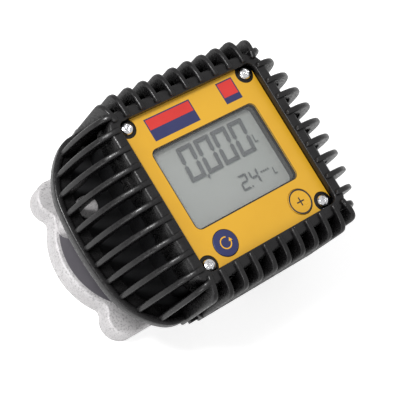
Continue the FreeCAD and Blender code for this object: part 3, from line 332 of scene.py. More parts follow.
FINISHES: dict[Slot, Finish] = {
    Slot.CAST: SpeckledFinish("cast_aluminium", (0.62, 0.605, 0.61), (0.55, 0.535, 0.54), (0.74, 0.72, 0.73),
                              metallic=0.25, roughness=0.5, grain_scale=1100, grain_depth=0.16, mask_scale=60,
                              edge_radius=0.9, speck=(0.22, 0.215, 0.22), share=0.6),
    Slot.LABEL: Finish("label_dark", (0.10, 0.094, 0.108), (0.11, 0.104, 0.118), (0.16, 0.16, 0.16),
                       roughness=0.45),
    Slot.WHITE: Finish("white_plastic", (0.75, 0.75, 0.70), (0.68, 0.68, 0.64), (0.8, 0.8, 0.77)),
    Slot.BEARING: Finish("bearing_plastic", (0.06, 0.06, 0.07), (0.05, 0.05, 0.05), (0.1, 0.1, 0.1)),
    Slot.SPRING: Finish("spring_steel", (0.5, 0.5, 0.52), (0.42, 0.42, 0.44), (0.7, 0.7, 0.7), metallic=1,
                        roughness=0.25, swing=0.08),
    Slot.STRAINER: Finish("strainer_steel", (0.5, 0.5, 0.5), (0.4, 0.4, 0.4), (0.65, 0.65, 0.65), metallic=1,
                          roughness=0.35),
    Slot.ROTOR: Finish("rotor_plastic", (0.03, 0.09, 0.35), (0.025, 0.07, 0.28), (0.08, 0.16, 0.45)),
    Slot.MAGNET: Finish("magnet", (0.45, 0.45, 0.46), (0.38, 0.38, 0.4), (0.6, 0.6, 0.6), metallic=1,
                        roughness=0.3),
    # Painted shade: this finish darkens its recesses and drops their shine through the shared mask.
    Slot.BLACK: Finish("black_plastic", (0.008, 0.008, 0.009), (0.01, 0.01, 0.011), (0.03, 0.03, 0.03),
                       roughness=0.6, specular=0.3, painted_shade=1.0),
    Slot.LEAD: Finish("lead_insulation", (0.35, 0.02, 0.02), (0.3, 0.015, 0.015), (0.4, 0.05, 0.05)),
    Slot.GASKET: Finish("gasket_rubber", (0.015, 0.015, 0.015), (0.02, 0.02, 0.02), (0.04, 0.04, 0.04),
                        roughness=0.7),
    Slot.SCREW: Finish("screw_steel", (0.95, 0.95, 0.96), (0.85, 0.85, 0.87), (1.0, 1.0, 1.0), metallic=1,
                       roughness=0.16, swing=0.06, grain_depth=0.004, edge_radius=0.35),
    Slot.BOARD: Finish("board_green", (0.01, 0.11, 0.04), (0.012, 0.13, 0.05), (0.1, 0.2, 0.1),
                       roughness=0.35),
    Slot.DISPLAY: Finish("display_glass", (0.29, 0.30, 0.288), (0.265, 0.28, 0.265), (0.3, 0.32, 0.3),
                         roughness=0.4, mask_scale=18, grain_depth=0.001),
    Slot.STRIP: Finish("strip_rubber", (0.5, 0.35, 0.35), (0.45, 0.3, 0.3), (0.55, 0.4, 0.4), roughness=0.6),
    Slot.BATTERY: Finish("battery_sleeve", (0.03, 0.10, 0.06), (0.025, 0.08, 0.05), (0.1, 0.2, 0.15),
                         roughness=0.3),
    Slot.FILM: Finish("yellow_film", (0.66, 0.36, 0.022), (0.62, 0.33, 0.018), (0.85, 0.5, 0.05),
                      roughness=0.36, swing=0.05, grain_scale=2600, grain_depth=0.003, mask_scale=22,
                      edge_radius=0.12, coat=0.12),
    Slot.WINDOW: ClearFinish("clear_window", (0.9, 0.92, 0.92), (0.85, 0.87, 0.87), (1.0, 1.0, 1.0),
                             roughness=0.1, swing=0.02, grain_depth=0.0005, edge_radius=0.1),
    Slot.NAVY: Finish("navy_button", (0.022, 0.026, 0.10), (0.028, 0.032, 0.115), (0.06, 0.07, 0.2),
                      roughness=0.4, edge_radius=0.25),
    Slot.YELLOW_KEY: Finish("yellow_button", (0.66, 0.36, 0.022), (0.62, 0.33, 0.018), (0.85, 0.5, 0.05),
                            roughness=0.36, edge_radius=0.2, coat=0.12),
    # Painted shade: this finish darkens its recesses and drops their shine through the shared mask.
    Slot.BOOT: Finish("boot_rubber", (0.006, 0.0055, 0.006), (0.011, 0.0105, 0.011), (0.05, 0.05, 0.052),
                      roughness=0.32, swing=0.1, grain_scale=800, grain_depth=0.05, mask_scale=90,
                      edge_radius=0.4, specular=0.42, painted_shade=0.95),
}

INK_DARK = Finish("ink_dark", (0.02, 0.02, 0.024), (0.026, 0.026, 0.03), (0.03, 0.03, 0.03), roughness=0.4)
INK_NAVY = Finish("ink_navy", (0.024, 0.028, 0.10), (0.028, 0.032, 0.11), (0.05, 0.05, 0.15), roughness=0.38)
INK_RED = Finish("ink_red", (0.62, 0.035, 0.03), (0.56, 0.03, 0.025), (0.7, 0.1, 0.1), roughness=0.38)
INK_YELLOW = Finish("ink_yellow", (0.80, 0.405, 0.02), (0.75, 0.38, 0.02), (0.85, 0.5, 0.05), roughness=0.38)
SEGMENT_DARK = Finish("segment_dark", (0.062, 0.066, 0.072), (0.054, 0.058, 0.064), (0.1, 0.1, 0.1))
SEGMENT_SHADE = Finish("segment_shade", (0.23, 0.255, 0.245), (0.22, 0.245, 0.235), (0.25, 0.27, 0.26))


# ---------------------------------------------------------------- mesh helpers


def mesh_piece(name: str, vertices: np.ndarray, faces: list, material: bpy.types.Material,
               body: str, slot: Slot, smooth: bool = False) -> bpy.types.Object:
    """Put a computed mesh into the scene as one piece.

    Args:
        name: the piece's name.
        vertices: points in metres, one row each.
        faces: tuples of vertex numbers, counted outward.
        material: the piece's material.
        body: the CAD body it rides on.
        slot: a record slot; not used.
        smooth: whether its faces are shaded smooth.

    Returns:
        The new object.
    """
    mesh = bpy.data.meshes.new(name)
    mesh.from_pydata(np.asarray(vertices).tolist(), [], faces)
    mesh.materials.append(material)
    mesh.polygons.foreach_set("use_smooth", np.full(len(mesh.polygons), smooth))
    mesh.update()
    piece = bpy.data.objects.new(name, mesh)
    bpy.context.scene.collection.objects.link(piece)
    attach(piece, body)
    LOG.info("made %s with %d faces, riding on %s", name, len(faces), body)
    return piece


def prism(outline: np.ndarray, low: float, high: float) -> tuple[np.ndarray, list]:
    """Raise a flat anticlockwise outline into a closed prism.

    Args:
        outline: x, y rows in millimetres.
        low: height of the lower face in millimetres.
        high: height of the upper face in millimetres.

    Returns:
        Vertices in metres and faces counted outward.
    """
    count = len(outline)
    flat = np.vstack([np.column_stack([outline, np.full(count, level)]) for level in (low, high)])
    ring = np.arange(count)
    following = (ring + 1) % count
    sides = np.column_stack([ring, following, following + count, ring + count])
    faces = [tuple(ring[::-1]), tuple(ring + count)] + [tuple(side) for side in sides]
    return flat * MM, faces


def band(inner: np.ndarray, outer: np.ndarray, low: float, high: float) -> tuple[np.ndarray, list]:
    """Raise the band between two outlines of equal count into a closed ring.

    Args:
        inner: x, y rows of the inner edge in millimetres, anticlockwise.
        outer: x, y rows of the outer edge in millimetres, anticlockwise.
        low: height of the lower side in millimetres.
        high: height of the upper side in millimetres.

    Returns:
        Vertices in metres and faces counted outward.
    """
    count = len(inner)
    loops = [(inner, low), (outer, low), (outer, high), (inner, high)]
    points = np.vstack([np.column_stack([loop, np.full(count, level)]) for loop, level in loops])
    ring = np.arange(count)
    following = (ring + 1) % count
    faces = []
    for first, second in ((0, 1), (1, 2), (2, 3), (3, 0)):
        quads = np.column_stack([ring + first * count, ring + second * count,
                                 following + second * count, following + first * count])
        faces += [tuple(quad[::-1]) for quad in quads]
    return points * MM, faces


def joined(parts: list[tuple[np.ndarray, list]]) -> tuple[np.ndarray, list]:
    """Join several meshes into one list of vertices and faces."""
    starts = np.cumsum([0] + [len(points) for points, _ in parts])
    faces = [tuple(np.asarray(face) + start) for (_, group), start in zip(parts, starts) for face in group]
    return np.vstack([points for points, _ in parts]), faces


def circle(centre: tuple[float, float], radius: float, count: int = 48) -> np.ndarray:
    """Return points on a circle: centre + radius (cos t, sin t)."""
    turns = np.arange(count) * 2 * math.pi / count
    return np.column_stack([centre[0] + radius * np.cos(turns), centre[1] + radius * np.sin(turns)])


def rectangle(left: float, low: float, right: float, high: float) -> np.ndarray:
    """Return the corners of a rectangle, anticlockwise."""
    return np.array([(left, low), (right, low), (right, high), (left, high)], dtype=float)


def sized_rectangle(left: float, low: float, width: float, height: float) -> np.ndarray:
    """Return the corners of a rectangle given by its lower left corner and its size."""
    return rectangle(left, low, left + width, low + height)


def skin(rings: np.ndarray, wrapped: bool) -> tuple[np.ndarray, list]:
    """Close a grid of rings into a solid.

    Args:
        rings: points in millimetres, shaped (stations, points around, 3).
        wrapped: True when the last station meets the first; otherwise both ends get a cap.

    Returns:
        Vertices in metres and faces counted outward. The signed volume, a sixth of the sum of
        a . (b x c) over the triangles, decides whether the faces are turned round.
    """
    stations, around, _ = rings.shape
    numbers = np.arange(stations * around).reshape(stations, around)
    following = np.roll(numbers, -1, axis=0) if wrapped else numbers[1:]
    current = numbers if wrapped else numbers[:-1]
    beside, across = np.roll(current, -1, axis=1), np.roll(following, -1, axis=1)
    quads = np.stack([current, beside, across, following], axis=-1).reshape(-1, 4)
    points = rings.reshape(-1, 3)
    first, second, third, fourth = (points[quads[:, corner]] for corner in range(4))
    volume = np.einsum("ij,ij->", first, np.cross(second, third))
    volume += np.einsum("ij,ij->", first, np.cross(third, fourth))
    faces = [tuple(quad) for quad in quads]
    if not wrapped:
        faces += [tuple(numbers[0][::-1]), tuple(numbers[-1])]
        for loop, sign in ((rings[0], -1), (rings[-1], 1)):
            fan = np.cross(loop[1:-1], loop[2:])
            volume += sign * np.einsum("j,ij->", loop[0], fan)
    if volume < 0:
        faces = [face[::-1] for face in faces]
    return points * MM, faces


def swept_round(section: list[tuple[np.ndarray, float]]) -> tuple[np.ndarray, list]:
    """Close a section that runs right round: each entry is an outline and the height it lies at."""
    rings = [np.column_stack([outline, np.full(len(outline), level)]) for outline, level in section]
    return skin(np.array(rings).transpose(1, 0, 2), wrapped=True)


# ---------------------------------------------------------------- rubber boot


@dataclass(frozen=True)
class Rib:
    """One rib: where it leaves the frame, its heading, its quarter oval and its straight tail."""

    anchor: tuple[float, float]
    heading: float
    reach: float
    drop: float
    fullness: float
    tail_out: float = 0.0
    tail_down: float = 0.0


@dataclass(frozen=True)
class Hoop:
    """The rear hoop and the flat ledge inside it, in millimetres.

    Each entry of arcs is an arc's radius and the angle in degrees at which it ends. parallel is
    the cross product below which a heading counts as parallel to an edge.
    """

    low: float
    height: float = 6.0
    wall: float = 3.6
    rounding: float = 0.9
    half_width: float = 73.0
    arcs: tuple[tuple[float, float], ...] = ((150.0, 8.5), (40.0, 53.5), (16.0, 90.0))
    rim_half_width: float = 36.0
    rim_reach: float = 55.0
    rim_run: float = 3.0
    ledge_start: float = 2.0
    ledge_width: float = 9.2
    ledge_rise: float = 2.8
    ledge_thickness: float = 2.0
    arc_points: int = 13
    bend_points: int = 4
    parallel: float = 1e-9

    def loop(self, inset: float) -> np.ndarray:
        """Return the hoop's outline drawn in by an inset: three tangent arcs a quarter, then the rim.

        Each arc is centre + (radius - inset)(cos t, sin t), and each centre lies on the last
        radius of the arc before it.
        """
        centre = np.array([self.half_width - self.arcs[0][0], 0.0])
        start, points = 0.0, []
        for place, (radius, end) in enumerate(self.arcs):
            turns = np.radians(np.linspace(start, end, self.arc_points)[(1 if place else 0):])
            points.append(centre + (radius - inset) * np.column_stack([np.cos(turns), np.sin(turns)]))
            if place + 1 < len(self.arcs):
                heading = np.array([math.cos(turns[-1]), math.sin(turns[-1])])
                centre = centre + heading * (radius - self.arcs[place + 1][0])
            start = end
        last = points[-1][-1]
        level = self.rim_reach - inset
        points.append(np.array([(self.rim_half_width + self.rim_run, last[1]),
                                (self.rim_half_width, level), (0.0, level)]))
        quarter = np.vstack(points)
        upper = np.vstack([quarter, quarter[-2::-1] * (-1, 1)])
        return np.vstack([upper, upper[-2:0:-1] * (1, -1)])

    def solid(self) -> tuple[np.ndarray, list]:
        """Return the hoop: a rounded rectangle swept between its outer and inner outlines."""
        soft = self.rounding
        low, high = self.low + soft, self.low + self.height - soft
        outer, inner = soft, self.wall - soft
        turns = np.radians(np.linspace(0, 90, self.bend_points))
        section = []
        corners = ((outer, high, 180), (inner, high, 90), (inner, low, 0), (outer, low, 270))
        for across, level, start in corners:
            swing = np.radians(start) - turns
            section += list(zip(across + soft * np.cos(swing), level + soft * np.sin(swing)))
        return swept_round([(self.loop(inset), level) for inset, level in section])

    def ledge(self) -> tuple[np.ndarray, list]:
        """Return the flat ledge inside the hoop that lies over the base of the display housing."""
        low = self.low + self.ledge_rise
        high = low + self.ledge_thickness
        outer, inner = self.loop(self.ledge_start), self.loop(self.ledge_width)
        return swept_round([(outer, low), (outer, high), (inner, high), (inner, low)])

    def reach(self, anchor: np.ndarray, heading: float) -> float:
        """Return how far the middle of the hoop's wall lies from a point along a heading.

        Args:
            anchor: the point's x and y.
            heading: the direction in radians.

        Returns:
            The least positive distance d for which anchor + d (cos t, sin t) lies on an edge of the
            middle outline. An edge is start + share (end - start), with a share of 0 to 1.
        """
        loop = self.loop(self.wall / 2)
        edge = np.roll(loop, -1, axis=0) - loop
        direction = np.array([math.cos(heading), math.sin(heading)])
        offset = loop - anchor
        cross = direction[0] * edge[:, 1] - direction[1] * edge[:, 0]
        cross = np.where(np.abs(cross) < self.parallel, self.parallel, cross)
        distance = (offset[:, 0] * edge[:, 1] - offset[:, 1] * edge[:, 0]) / cross
        share = (offset[:, 0] * direction[1] - offset[:, 1] * direction[0]) / cross
        hits = distance[(share >= 0) & (share <= 1) & (distance > 0)]
        return float(hits.min())


@dataclass(frozen=True)
class BootFrame:
    """The raised frame round the panel, in millimetres; shares count from the opening outward."""

    front: float
    lip: float = 5.94
    face_drop: float = 1.7
    depth: float = 12.0
    seat_gap: float = 0.05
    seat_share: float = 0.6
    half_width: float = 47.0
    half_height: float = 45.5
    corner: float = 10.0
    opening: tuple[float, float, float] = (41.0, 40.0, 4.0)
    inner_share: float = 0.1
    inner_drop: float = 0.5
    outer_share: float = 0.3
    outer_drop: float = 1.8
    corner_points: int = 10
    bend_points: int = 5

    @property
    def top(self) -> float:
        """Height of the ribs' highest points."""
        return self.front + self.lip

    def outline(self, half_width: float, half_height: float, corner: float) -> np.ndarray:
        """Return a rectangle with quarter circles as its corners, anticlockwise."""
        turns = np.radians(np.linspace(0, 90, self.corner_points))
        arc = corner * np.column_stack([np.cos(turns), np.sin(turns)])
        arc = arc + (half_width - corner, half_height - corner)
        half = np.vstack([arc, arc[::-1] * (-1, 1)])
        return np.vstack([half, half[::-1] * (1, -1)])

    def solid(self) -> tuple[np.ndarray, list]:
        """Return the frame: a rounded section swept between the opening and the outer outline."""
        inner = self.outline(*self.opening)
        outer = self.outline(self.half_width, self.half_height, self.corner)
        face, base, seat = self.top - self.face_drop, self.front - self.depth, self.front + self.seat_gap
        turns = np.radians(np.linspace(0, 90, self.bend_points))
        from_cos, from_sin = 1 - np.cos(turns), 1 - np.sin(turns)
        section = [(0.0, seat), (0.0, (seat + face) / 2)]
        section += list(zip(self.inner_share * from_cos, face - self.inner_drop * from_sin))
        section += list(zip(1 - self.outer_share * from_sin, face - self.outer_drop * from_cos))
        section += [(1.0, (face + base) / 2), (1.0, base), (self.seat_share, base), (self.seat_share, seat)]
        return swept_round([(inner + (outer - inner) * share, level) for share, level in section])


@dataclass(frozen=True)
class Skirt:
    """The wall over the top or bottom of the housing, with the floor that joins it to the hoop."""

    half_length: float = 41.5
    reach: float = 46.0
    wall: float = 2.0
    inner: float = 42.5
    edge: float = 0.3
    shoulder: float = 4.0
    floor: float = 3.0
    rim_gap: float = 1.0
    roof_outer: float = 8.0
    roof_inner: float = 12.0

    def solid(self, sign: int, frame: BootFrame, hoop: Hoop) -> tuple[np.ndarray, list]:
        """Return one skirt.

        Args:
            sign: 1 for the top, -1 for the bottom.
            frame: the frame it hangs from.
            hoop: the hoop that its floor meets.

        Returns:
            Vertices in metres and faces counted outward.
        """
        high, low, rim = frame.front, hoop.low, hoop.rim_reach - self.rim_gap
        section = [(self.inner, high), (frame.half_height - self.edge, high),
                   (self.reach, high - self.shoulder), (self.reach, low + self.floor),
                   (rim, low + self.floor), (rim, low), (self.reach - self.wall, low),
                   (self.reach - self.wall, high - self.roof_inner), (self.inner, high - self.roof_outer)]
        loop = np.array([(sign * out, level) for out, level in section])
        ends = (-self.half_length, self.half_length)
        rings = [np.column_stack([np.full(len(loop), x), loop]) for x in ends]
        return skin(np.array(rings), wrapped=False)


@dataclass(frozen=True)
class RubberBoot:
    """The whole boot: frame, hoop, ledge, skirts and rounded ribs, in millimetres.

    side_corners and end_corners hold a corner rib's place along its side and its splay in degrees.
    straight_from is the share of the depth at which the points on a rib's flat sides begin.
    """

    frame: BootFrame
    hoop: Hoop
    skirt: Skirt = Skirt()
    rib_count: int = 9
    thickness: float = 2.8
    rounding: float = 0.95
    depth: float = 8.0
    straight_from: float = 0.35
    foot: float = 4.3
    end_share: float = 0.75
    side_pitch: float = 9.15
    side_corners: tuple[tuple[float, float], ...] = ((43.6, 7.0), (-43.6, -7.0))
    side_sink: float = 1.5
    right_fullness: float = 2.2
    left_fullness: float = 2.0
    end_pitch: float = 8.9
    end_shift: float = 0.8
    end_corners: tuple[tuple[float, float], ...] = ((42.6, -15.0), (-41.5, 10.0))
    end_reach: float = 9.0
    end_drop: float = 8.0
    end_tail: float = 9.48
    end_below: float = 1.0
    end_fullness: float = 2.7
    corner_setback: float = 2.0
    oval_points: int = 19
    tail_points: int = 5
    bend_points: int = 5
    side_points: int = 3

    def row(self, pitch: float, shift: float, corners: tuple) -> list[tuple[float, float]]:
        """Return the place and splay of each rib of one side, the corner ribs last."""
        places = (np.arange(self.rib_count) - self.rib_count // 2) * pitch + shift
        return [(along, 0.0) for along in places] + list(corners)

    def side_ribs(self, side: int) -> list[Rib]:
        """Return the ribs of the right side (1) or the left side (-1), which end in the hoop."""
        drop = self.frame.top - self.hoop.low - self.hoop.height + self.side_sink
        fullness = self.right_fullness if side > 0 else self.left_fullness
        found = []
        for along, splay in self.row(self.side_pitch, 0.0, self.side_corners):
            anchor = (side * (self.frame.half_width - self.foot), along)
            heading = math.radians(splay if side > 0 else 180 - splay)
            found.append(Rib(anchor, heading, self.hoop.reach(np.array(anchor), heading), drop, fullness))
        return found

    def end_ribs(self, side: int) -> list[Rib]:
        """Return the ribs of the top (1) or the bottom (-1), which run on down past the hoop."""
        down = self.frame.top - self.end_drop - self.hoop.low + self.end_below
        found = []
        for along, splay in self.row(self.end_pitch, self.end_shift, self.end_corners):
            anchor = (along, side * (self.frame.half_height - self.foot))
            heading = math.radians(side * (90 + splay))
            longer = self.foot - (self.corner_setback if splay else 0.0)
            found.append(Rib(anchor, heading, self.end_reach + longer, self.end_drop, self.end_fullness,
                             self.end_tail + longer, down))
        return found

    def rib_path(self, rib: Rib) -> tuple[np.ndarray, np.ndarray]:
        """Return a rib's outer edge and the outward direction at each of its points.

        The edge is (reach cos t, drop sin t), both raised to two over the fullness, for t from 90
        to 0 degrees, then a straight tail. Its columns are the way out from the anchor and the
        height. A further point half a rounding past each end closes the rib.
        """
        top = self.frame.top
        turns = np.radians(np.linspace(90, 0, self.oval_points))
        power = 2 / rib.fullness
        out, rise = np.abs(np.cos(turns)) ** power, np.abs(np.sin(turns)) ** power
        path = np.column_stack([rib.reach * out, top - rib.drop + rib.drop * rise])
        if rib.tail_down:
            steps = np.linspace(0, 1, self.tail_points + 1)[1:, None]
            end = np.array([rib.tail_out, top - rib.drop - rib.tail_down])
            path = np.vstack([path, path[-1] + (end - path[-1]) * steps])
        slope = np.gradient(path, axis=0)
        slope /= np.linalg.norm(slope, axis=1)[:, None]
        outward = np.column_stack([-slope[:, 1], slope[:, 0]])
        first = path[0] - self.rounding / 2 * slope[0]
        last = path[-1] + self.rounding / 2 * slope[-1]
        return np.vstack([first, path, last]), outward[np.r_[0, 0:len(outward), -1]]

    def rib_section(self) -> tuple[np.ndarray, np.ndarray]:
        """Return a rib's section: a deep rectangle whose two outer edges are rounded.

        The first array runs across the rib; the second counts outward from its outer edge, so it
        is negative inside the rib.
        """
        half, soft = self.thickness / 2, self.rounding
        bend = np.radians(np.linspace(0, 90, self.bend_points))
        across, under = half - soft + soft * np.sin(bend), soft * (np.cos(bend) - 1)
        inward = np.linspace(self.straight_from, 1.0, self.side_points) * self.depth
        side = np.full_like(inward, half)
        return (np.concatenate([-across[::-1], across, side, -side]),
                np.concatenate([under[::-1], under, -inward, -inward[::-1]]))

    def rib_solid(self, rib: Rib) -> tuple[np.ndarray, list]:
        """Return one rib: its section swept along its outer edge, narrower at both ends."""
        path, outward = self.rib_path(rib)
        across, under = self.rib_section()
        size = np.ones(len(path))
        size[[0, -1]] = self.end_share
        out = path[:, 0, None] + outward[:, 0, None] * under
        level = path[:, 1, None] + outward[:, 1, None] * under
        side = across[None, :] * size[:, None]
        cos, sin = math.cos(rib.heading), math.sin(rib.heading)
        rings = np.stack([rib.anchor[0] + out * cos - side * sin,
                          rib.anchor[1] + out * sin + side * cos, level], axis=-1)
        return skin(rings, wrapped=False)

    def build(self, material: bpy.types.Material) -> None:
        """Make the five pieces that stand for the CAD boot."""
        ribs = [rib for side in (1, -1) for rib in self.side_ribs(side) + self.end_ribs(side)]
        skirts = [self.skirt.solid(sign, self.frame, self.hoop) for sign in (1, -1)]
        made = {"boot_frame": (self.frame.solid(), True), "boot_hoop": (self.hoop.solid(), True),
                "boot_ribs": (joined([self.rib_solid(rib) for rib in ribs]), True),
                "boot_skirts": (joined(skirts), False), "boot_ledge": (self.hoop.ledge(), False)}
        for name, (solid, smooth) in made.items():
            piece = mesh_piece(name, *solid, material, "meter", Slot.BOOT, smooth)
            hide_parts("rubber_boot")


# ---------------------------------------------------------------- display


class Bar(Enum):
    """Segments of a seven-segment digit, as end points on a grid one digit wide and two high."""

    TOP = ((0, 2), (1, 2))
    UPPER_RIGHT = ((1, 2), (1, 1))
    LOWER_RIGHT = ((1, 1), (1, 0))
    BOTTOM = ((0, 0), (1, 0))
    LOWER_LEFT = ((0, 1), (0, 0))
    UPPER_LEFT = ((0, 2), (0, 1))
    MIDDLE = ((0, 1), (1, 1))


ZERO = tuple(bar for bar in Bar if bar is not Bar.MIDDLE)
TWO = (Bar.TOP, Bar.UPPER_RIGHT, Bar.MIDDLE, Bar.LOWER_LEFT, Bar.BOTTOM)
FOUR = (Bar.UPPER_LEFT, Bar.MIDDLE, Bar.UPPER_RIGHT, Bar.LOWER_RIGHT)


@dataclass(frozen=True)
class Digit:
    """One slanted seven-segment digit on the display, in millimetres."""

    left: float
    low: float
    width: float
    height: float
    stroke: float
    bars: tuple[Bar, ...]
    slant: float = 0.08
    gap: float = 0.18

    def outlines(self) -> list[np.ndarray]:
        """Return each lit bar as a six-cornered outline.

        A bar runs between two grid points and is drawn in by the gap. Its ends are pointed at half
        height and mitred at the digit's corners; then x moves by slant times y.
        """
        inset = self.stroke / 2
        middle = np.array([self.width, self.height]) / 2
        pitch = np.array([self.width - self.stroke, (self.height - self.stroke) / 2])
        found = []
        for bar in self.bars:
            ends = np.array(bar.value, dtype=float)
            points = inset + ends * pitch
            along = (points[1] - points[0]) / np.linalg.norm(points[1] - points[0])
            across = np.array([-along[1], along[0]]) * inset
            start, end = points[0] + along * self.gap, points[1] - along * self.gap
            outward = across @ (points.mean(axis=0) - middle)
            mitred = {side: bar is not Bar.MIDDLE and side * outward > 0 for side in (1, -1)}
            drawn = {(side, place): along * (-inset if mitred[side] and height != 1 else inset)
                     for side in (1, -1) for place, height in enumerate(ends[:, 1])}
            shape = np.array([start, start + drawn[-1, 0] - across, end - drawn[-1, 1] - across, end,
                              end - drawn[1, 1] + across, start + drawn[1, 0] + across])
            shape[:, 0] += self.slant * shape[:, 1]
            found.append(shape + (self.left, self.low))
        return found


@dataclass(frozen=True)
class Reading:
    """The digits on the display, with a paler copy behind them as their shadow.

    A size is a digit's width, height and stroke; a place is an x and a y, in millimetres.
    """

    front: float
    back: float
    thickness: float = 0.04
    shift: tuple[float, float] = (0.55, -0.5)
    large_size: tuple[float, float, float] = (9.0, 17.9, 2.1)
    large_lefts: tuple[float, ...] = (-18.2, -7.65, 2.9, 13.45)
    large_low: float = 1.0
    small_size: tuple[float, float, float] = (5.0, 7.9, 1.0)
    small_digits: tuple[tuple[float, tuple[Bar, ...]], ...] = ((4.0, TWO), (10.6, FOUR))
    small_low: float = -14.0
    comma_place: tuple[float, float] = (-8.6, -1.2)
    comma: tuple[tuple[float, float], ...] = ((0.0, 0.0), (1.0, 2.2), (0.0, 2.8), (-0.6, 1.4))
    point_left: float = 9.4
    point_size: tuple[float, float] = (0.7, 0.8)
    litre_signs: tuple[tuple[float, float, float], ...] = ((24.0, 4.6, 4.2), (24.2, -13.4, 3.6))
    litre_stem: float = 0.55
    litre_lean: float = 0.3
    litre_foot: float = 0.5
    dash_place: tuple[float, float] = (17.6, -9.8)
    dash_size: tuple[float, float] = (0.9, 0.8)
    dash_pitch: float = 1.35
    dash_count: int = 4

    def digits(self) -> list[Digit]:
        """Return four large zeros and a small two-digit number."""
        large = [Digit(left, self.large_low, *self.large_size, ZERO) for left in self.large_lefts]
        small = [Digit(left, self.small_low, *self.small_size, bars) for left, bars in self.small_digits]
        return large + small

    def litre_sign(self, left: float, low: float, height: float) -> np.ndarray:
        """Return a leaning L whose foot is a share of its height."""
        stem, lean, foot = self.litre_stem, self.litre_lean, height * self.litre_foot
        outline = [(0.0, 0.0), (foot, 0.0), (foot, stem), (stem, stem), (stem + lean, height),
                   (lean, height)]
        return np.array(outline) + (left, low)

    def marks(self) -> list[np.ndarray]:
        """Return the comma, the decimal point, the litre signs and the dashes as outlines."""
        comma = np.array(self.comma) + self.comma_place
        point = sized_rectangle(self.point_left, self.small_low, *self.point_size)
        signs = [self.litre_sign(*sign) for sign in self.litre_signs]
        left, low = self.dash_place
        dashes = [sized_rectangle(left + step * self.dash_pitch, low, *self.dash_size)
                  for step in range(self.dash_count)]
        return [comma, point, *signs, *dashes]

    def build(self, dark: bpy.types.Material, pale: bpy.types.Material) -> None:
        """Make the two pieces: the digits and their shadow."""
        outlines = [outline for digit in self.digits() for outline in digit.outlines()] + self.marks()
        front = joined([prism(outline, self.front - self.thickness, self.front) for outline in outlines])
        mesh_piece("display_digits", *front, dark, "meter", Slot.DISPLAY)
        moved = [outline + np.array(self.shift) for outline in outlines]
        back = joined([prism(outline, self.back - self.thickness, self.back) for outline in moved])
        mesh_piece("display_digit_shadows", *back, pale, "meter", Slot.DISPLAY)


# ---------------------------------------------------------------- printed front


@dataclass(frozen=True)
class Field:
    """A two-coloured field: a dark rectangle whose upper part carries a smaller bright one."""

    left: float
    low: float
    right: float
    high: float
    split: float
    margin: float = 0.6

    def dark(self) -> np.ndarray:
        """Return the whole field's outline."""
        return rectangle(self.left, self.low, self.right, self.high)

    def bright(self) -> np.ndarray:
        """Return the outline of the part above the split, inside the margin."""
        return rectangle(self.left + self.margin, self.low + self.split, self.right - self.margin,
                         self.high - self.margin)


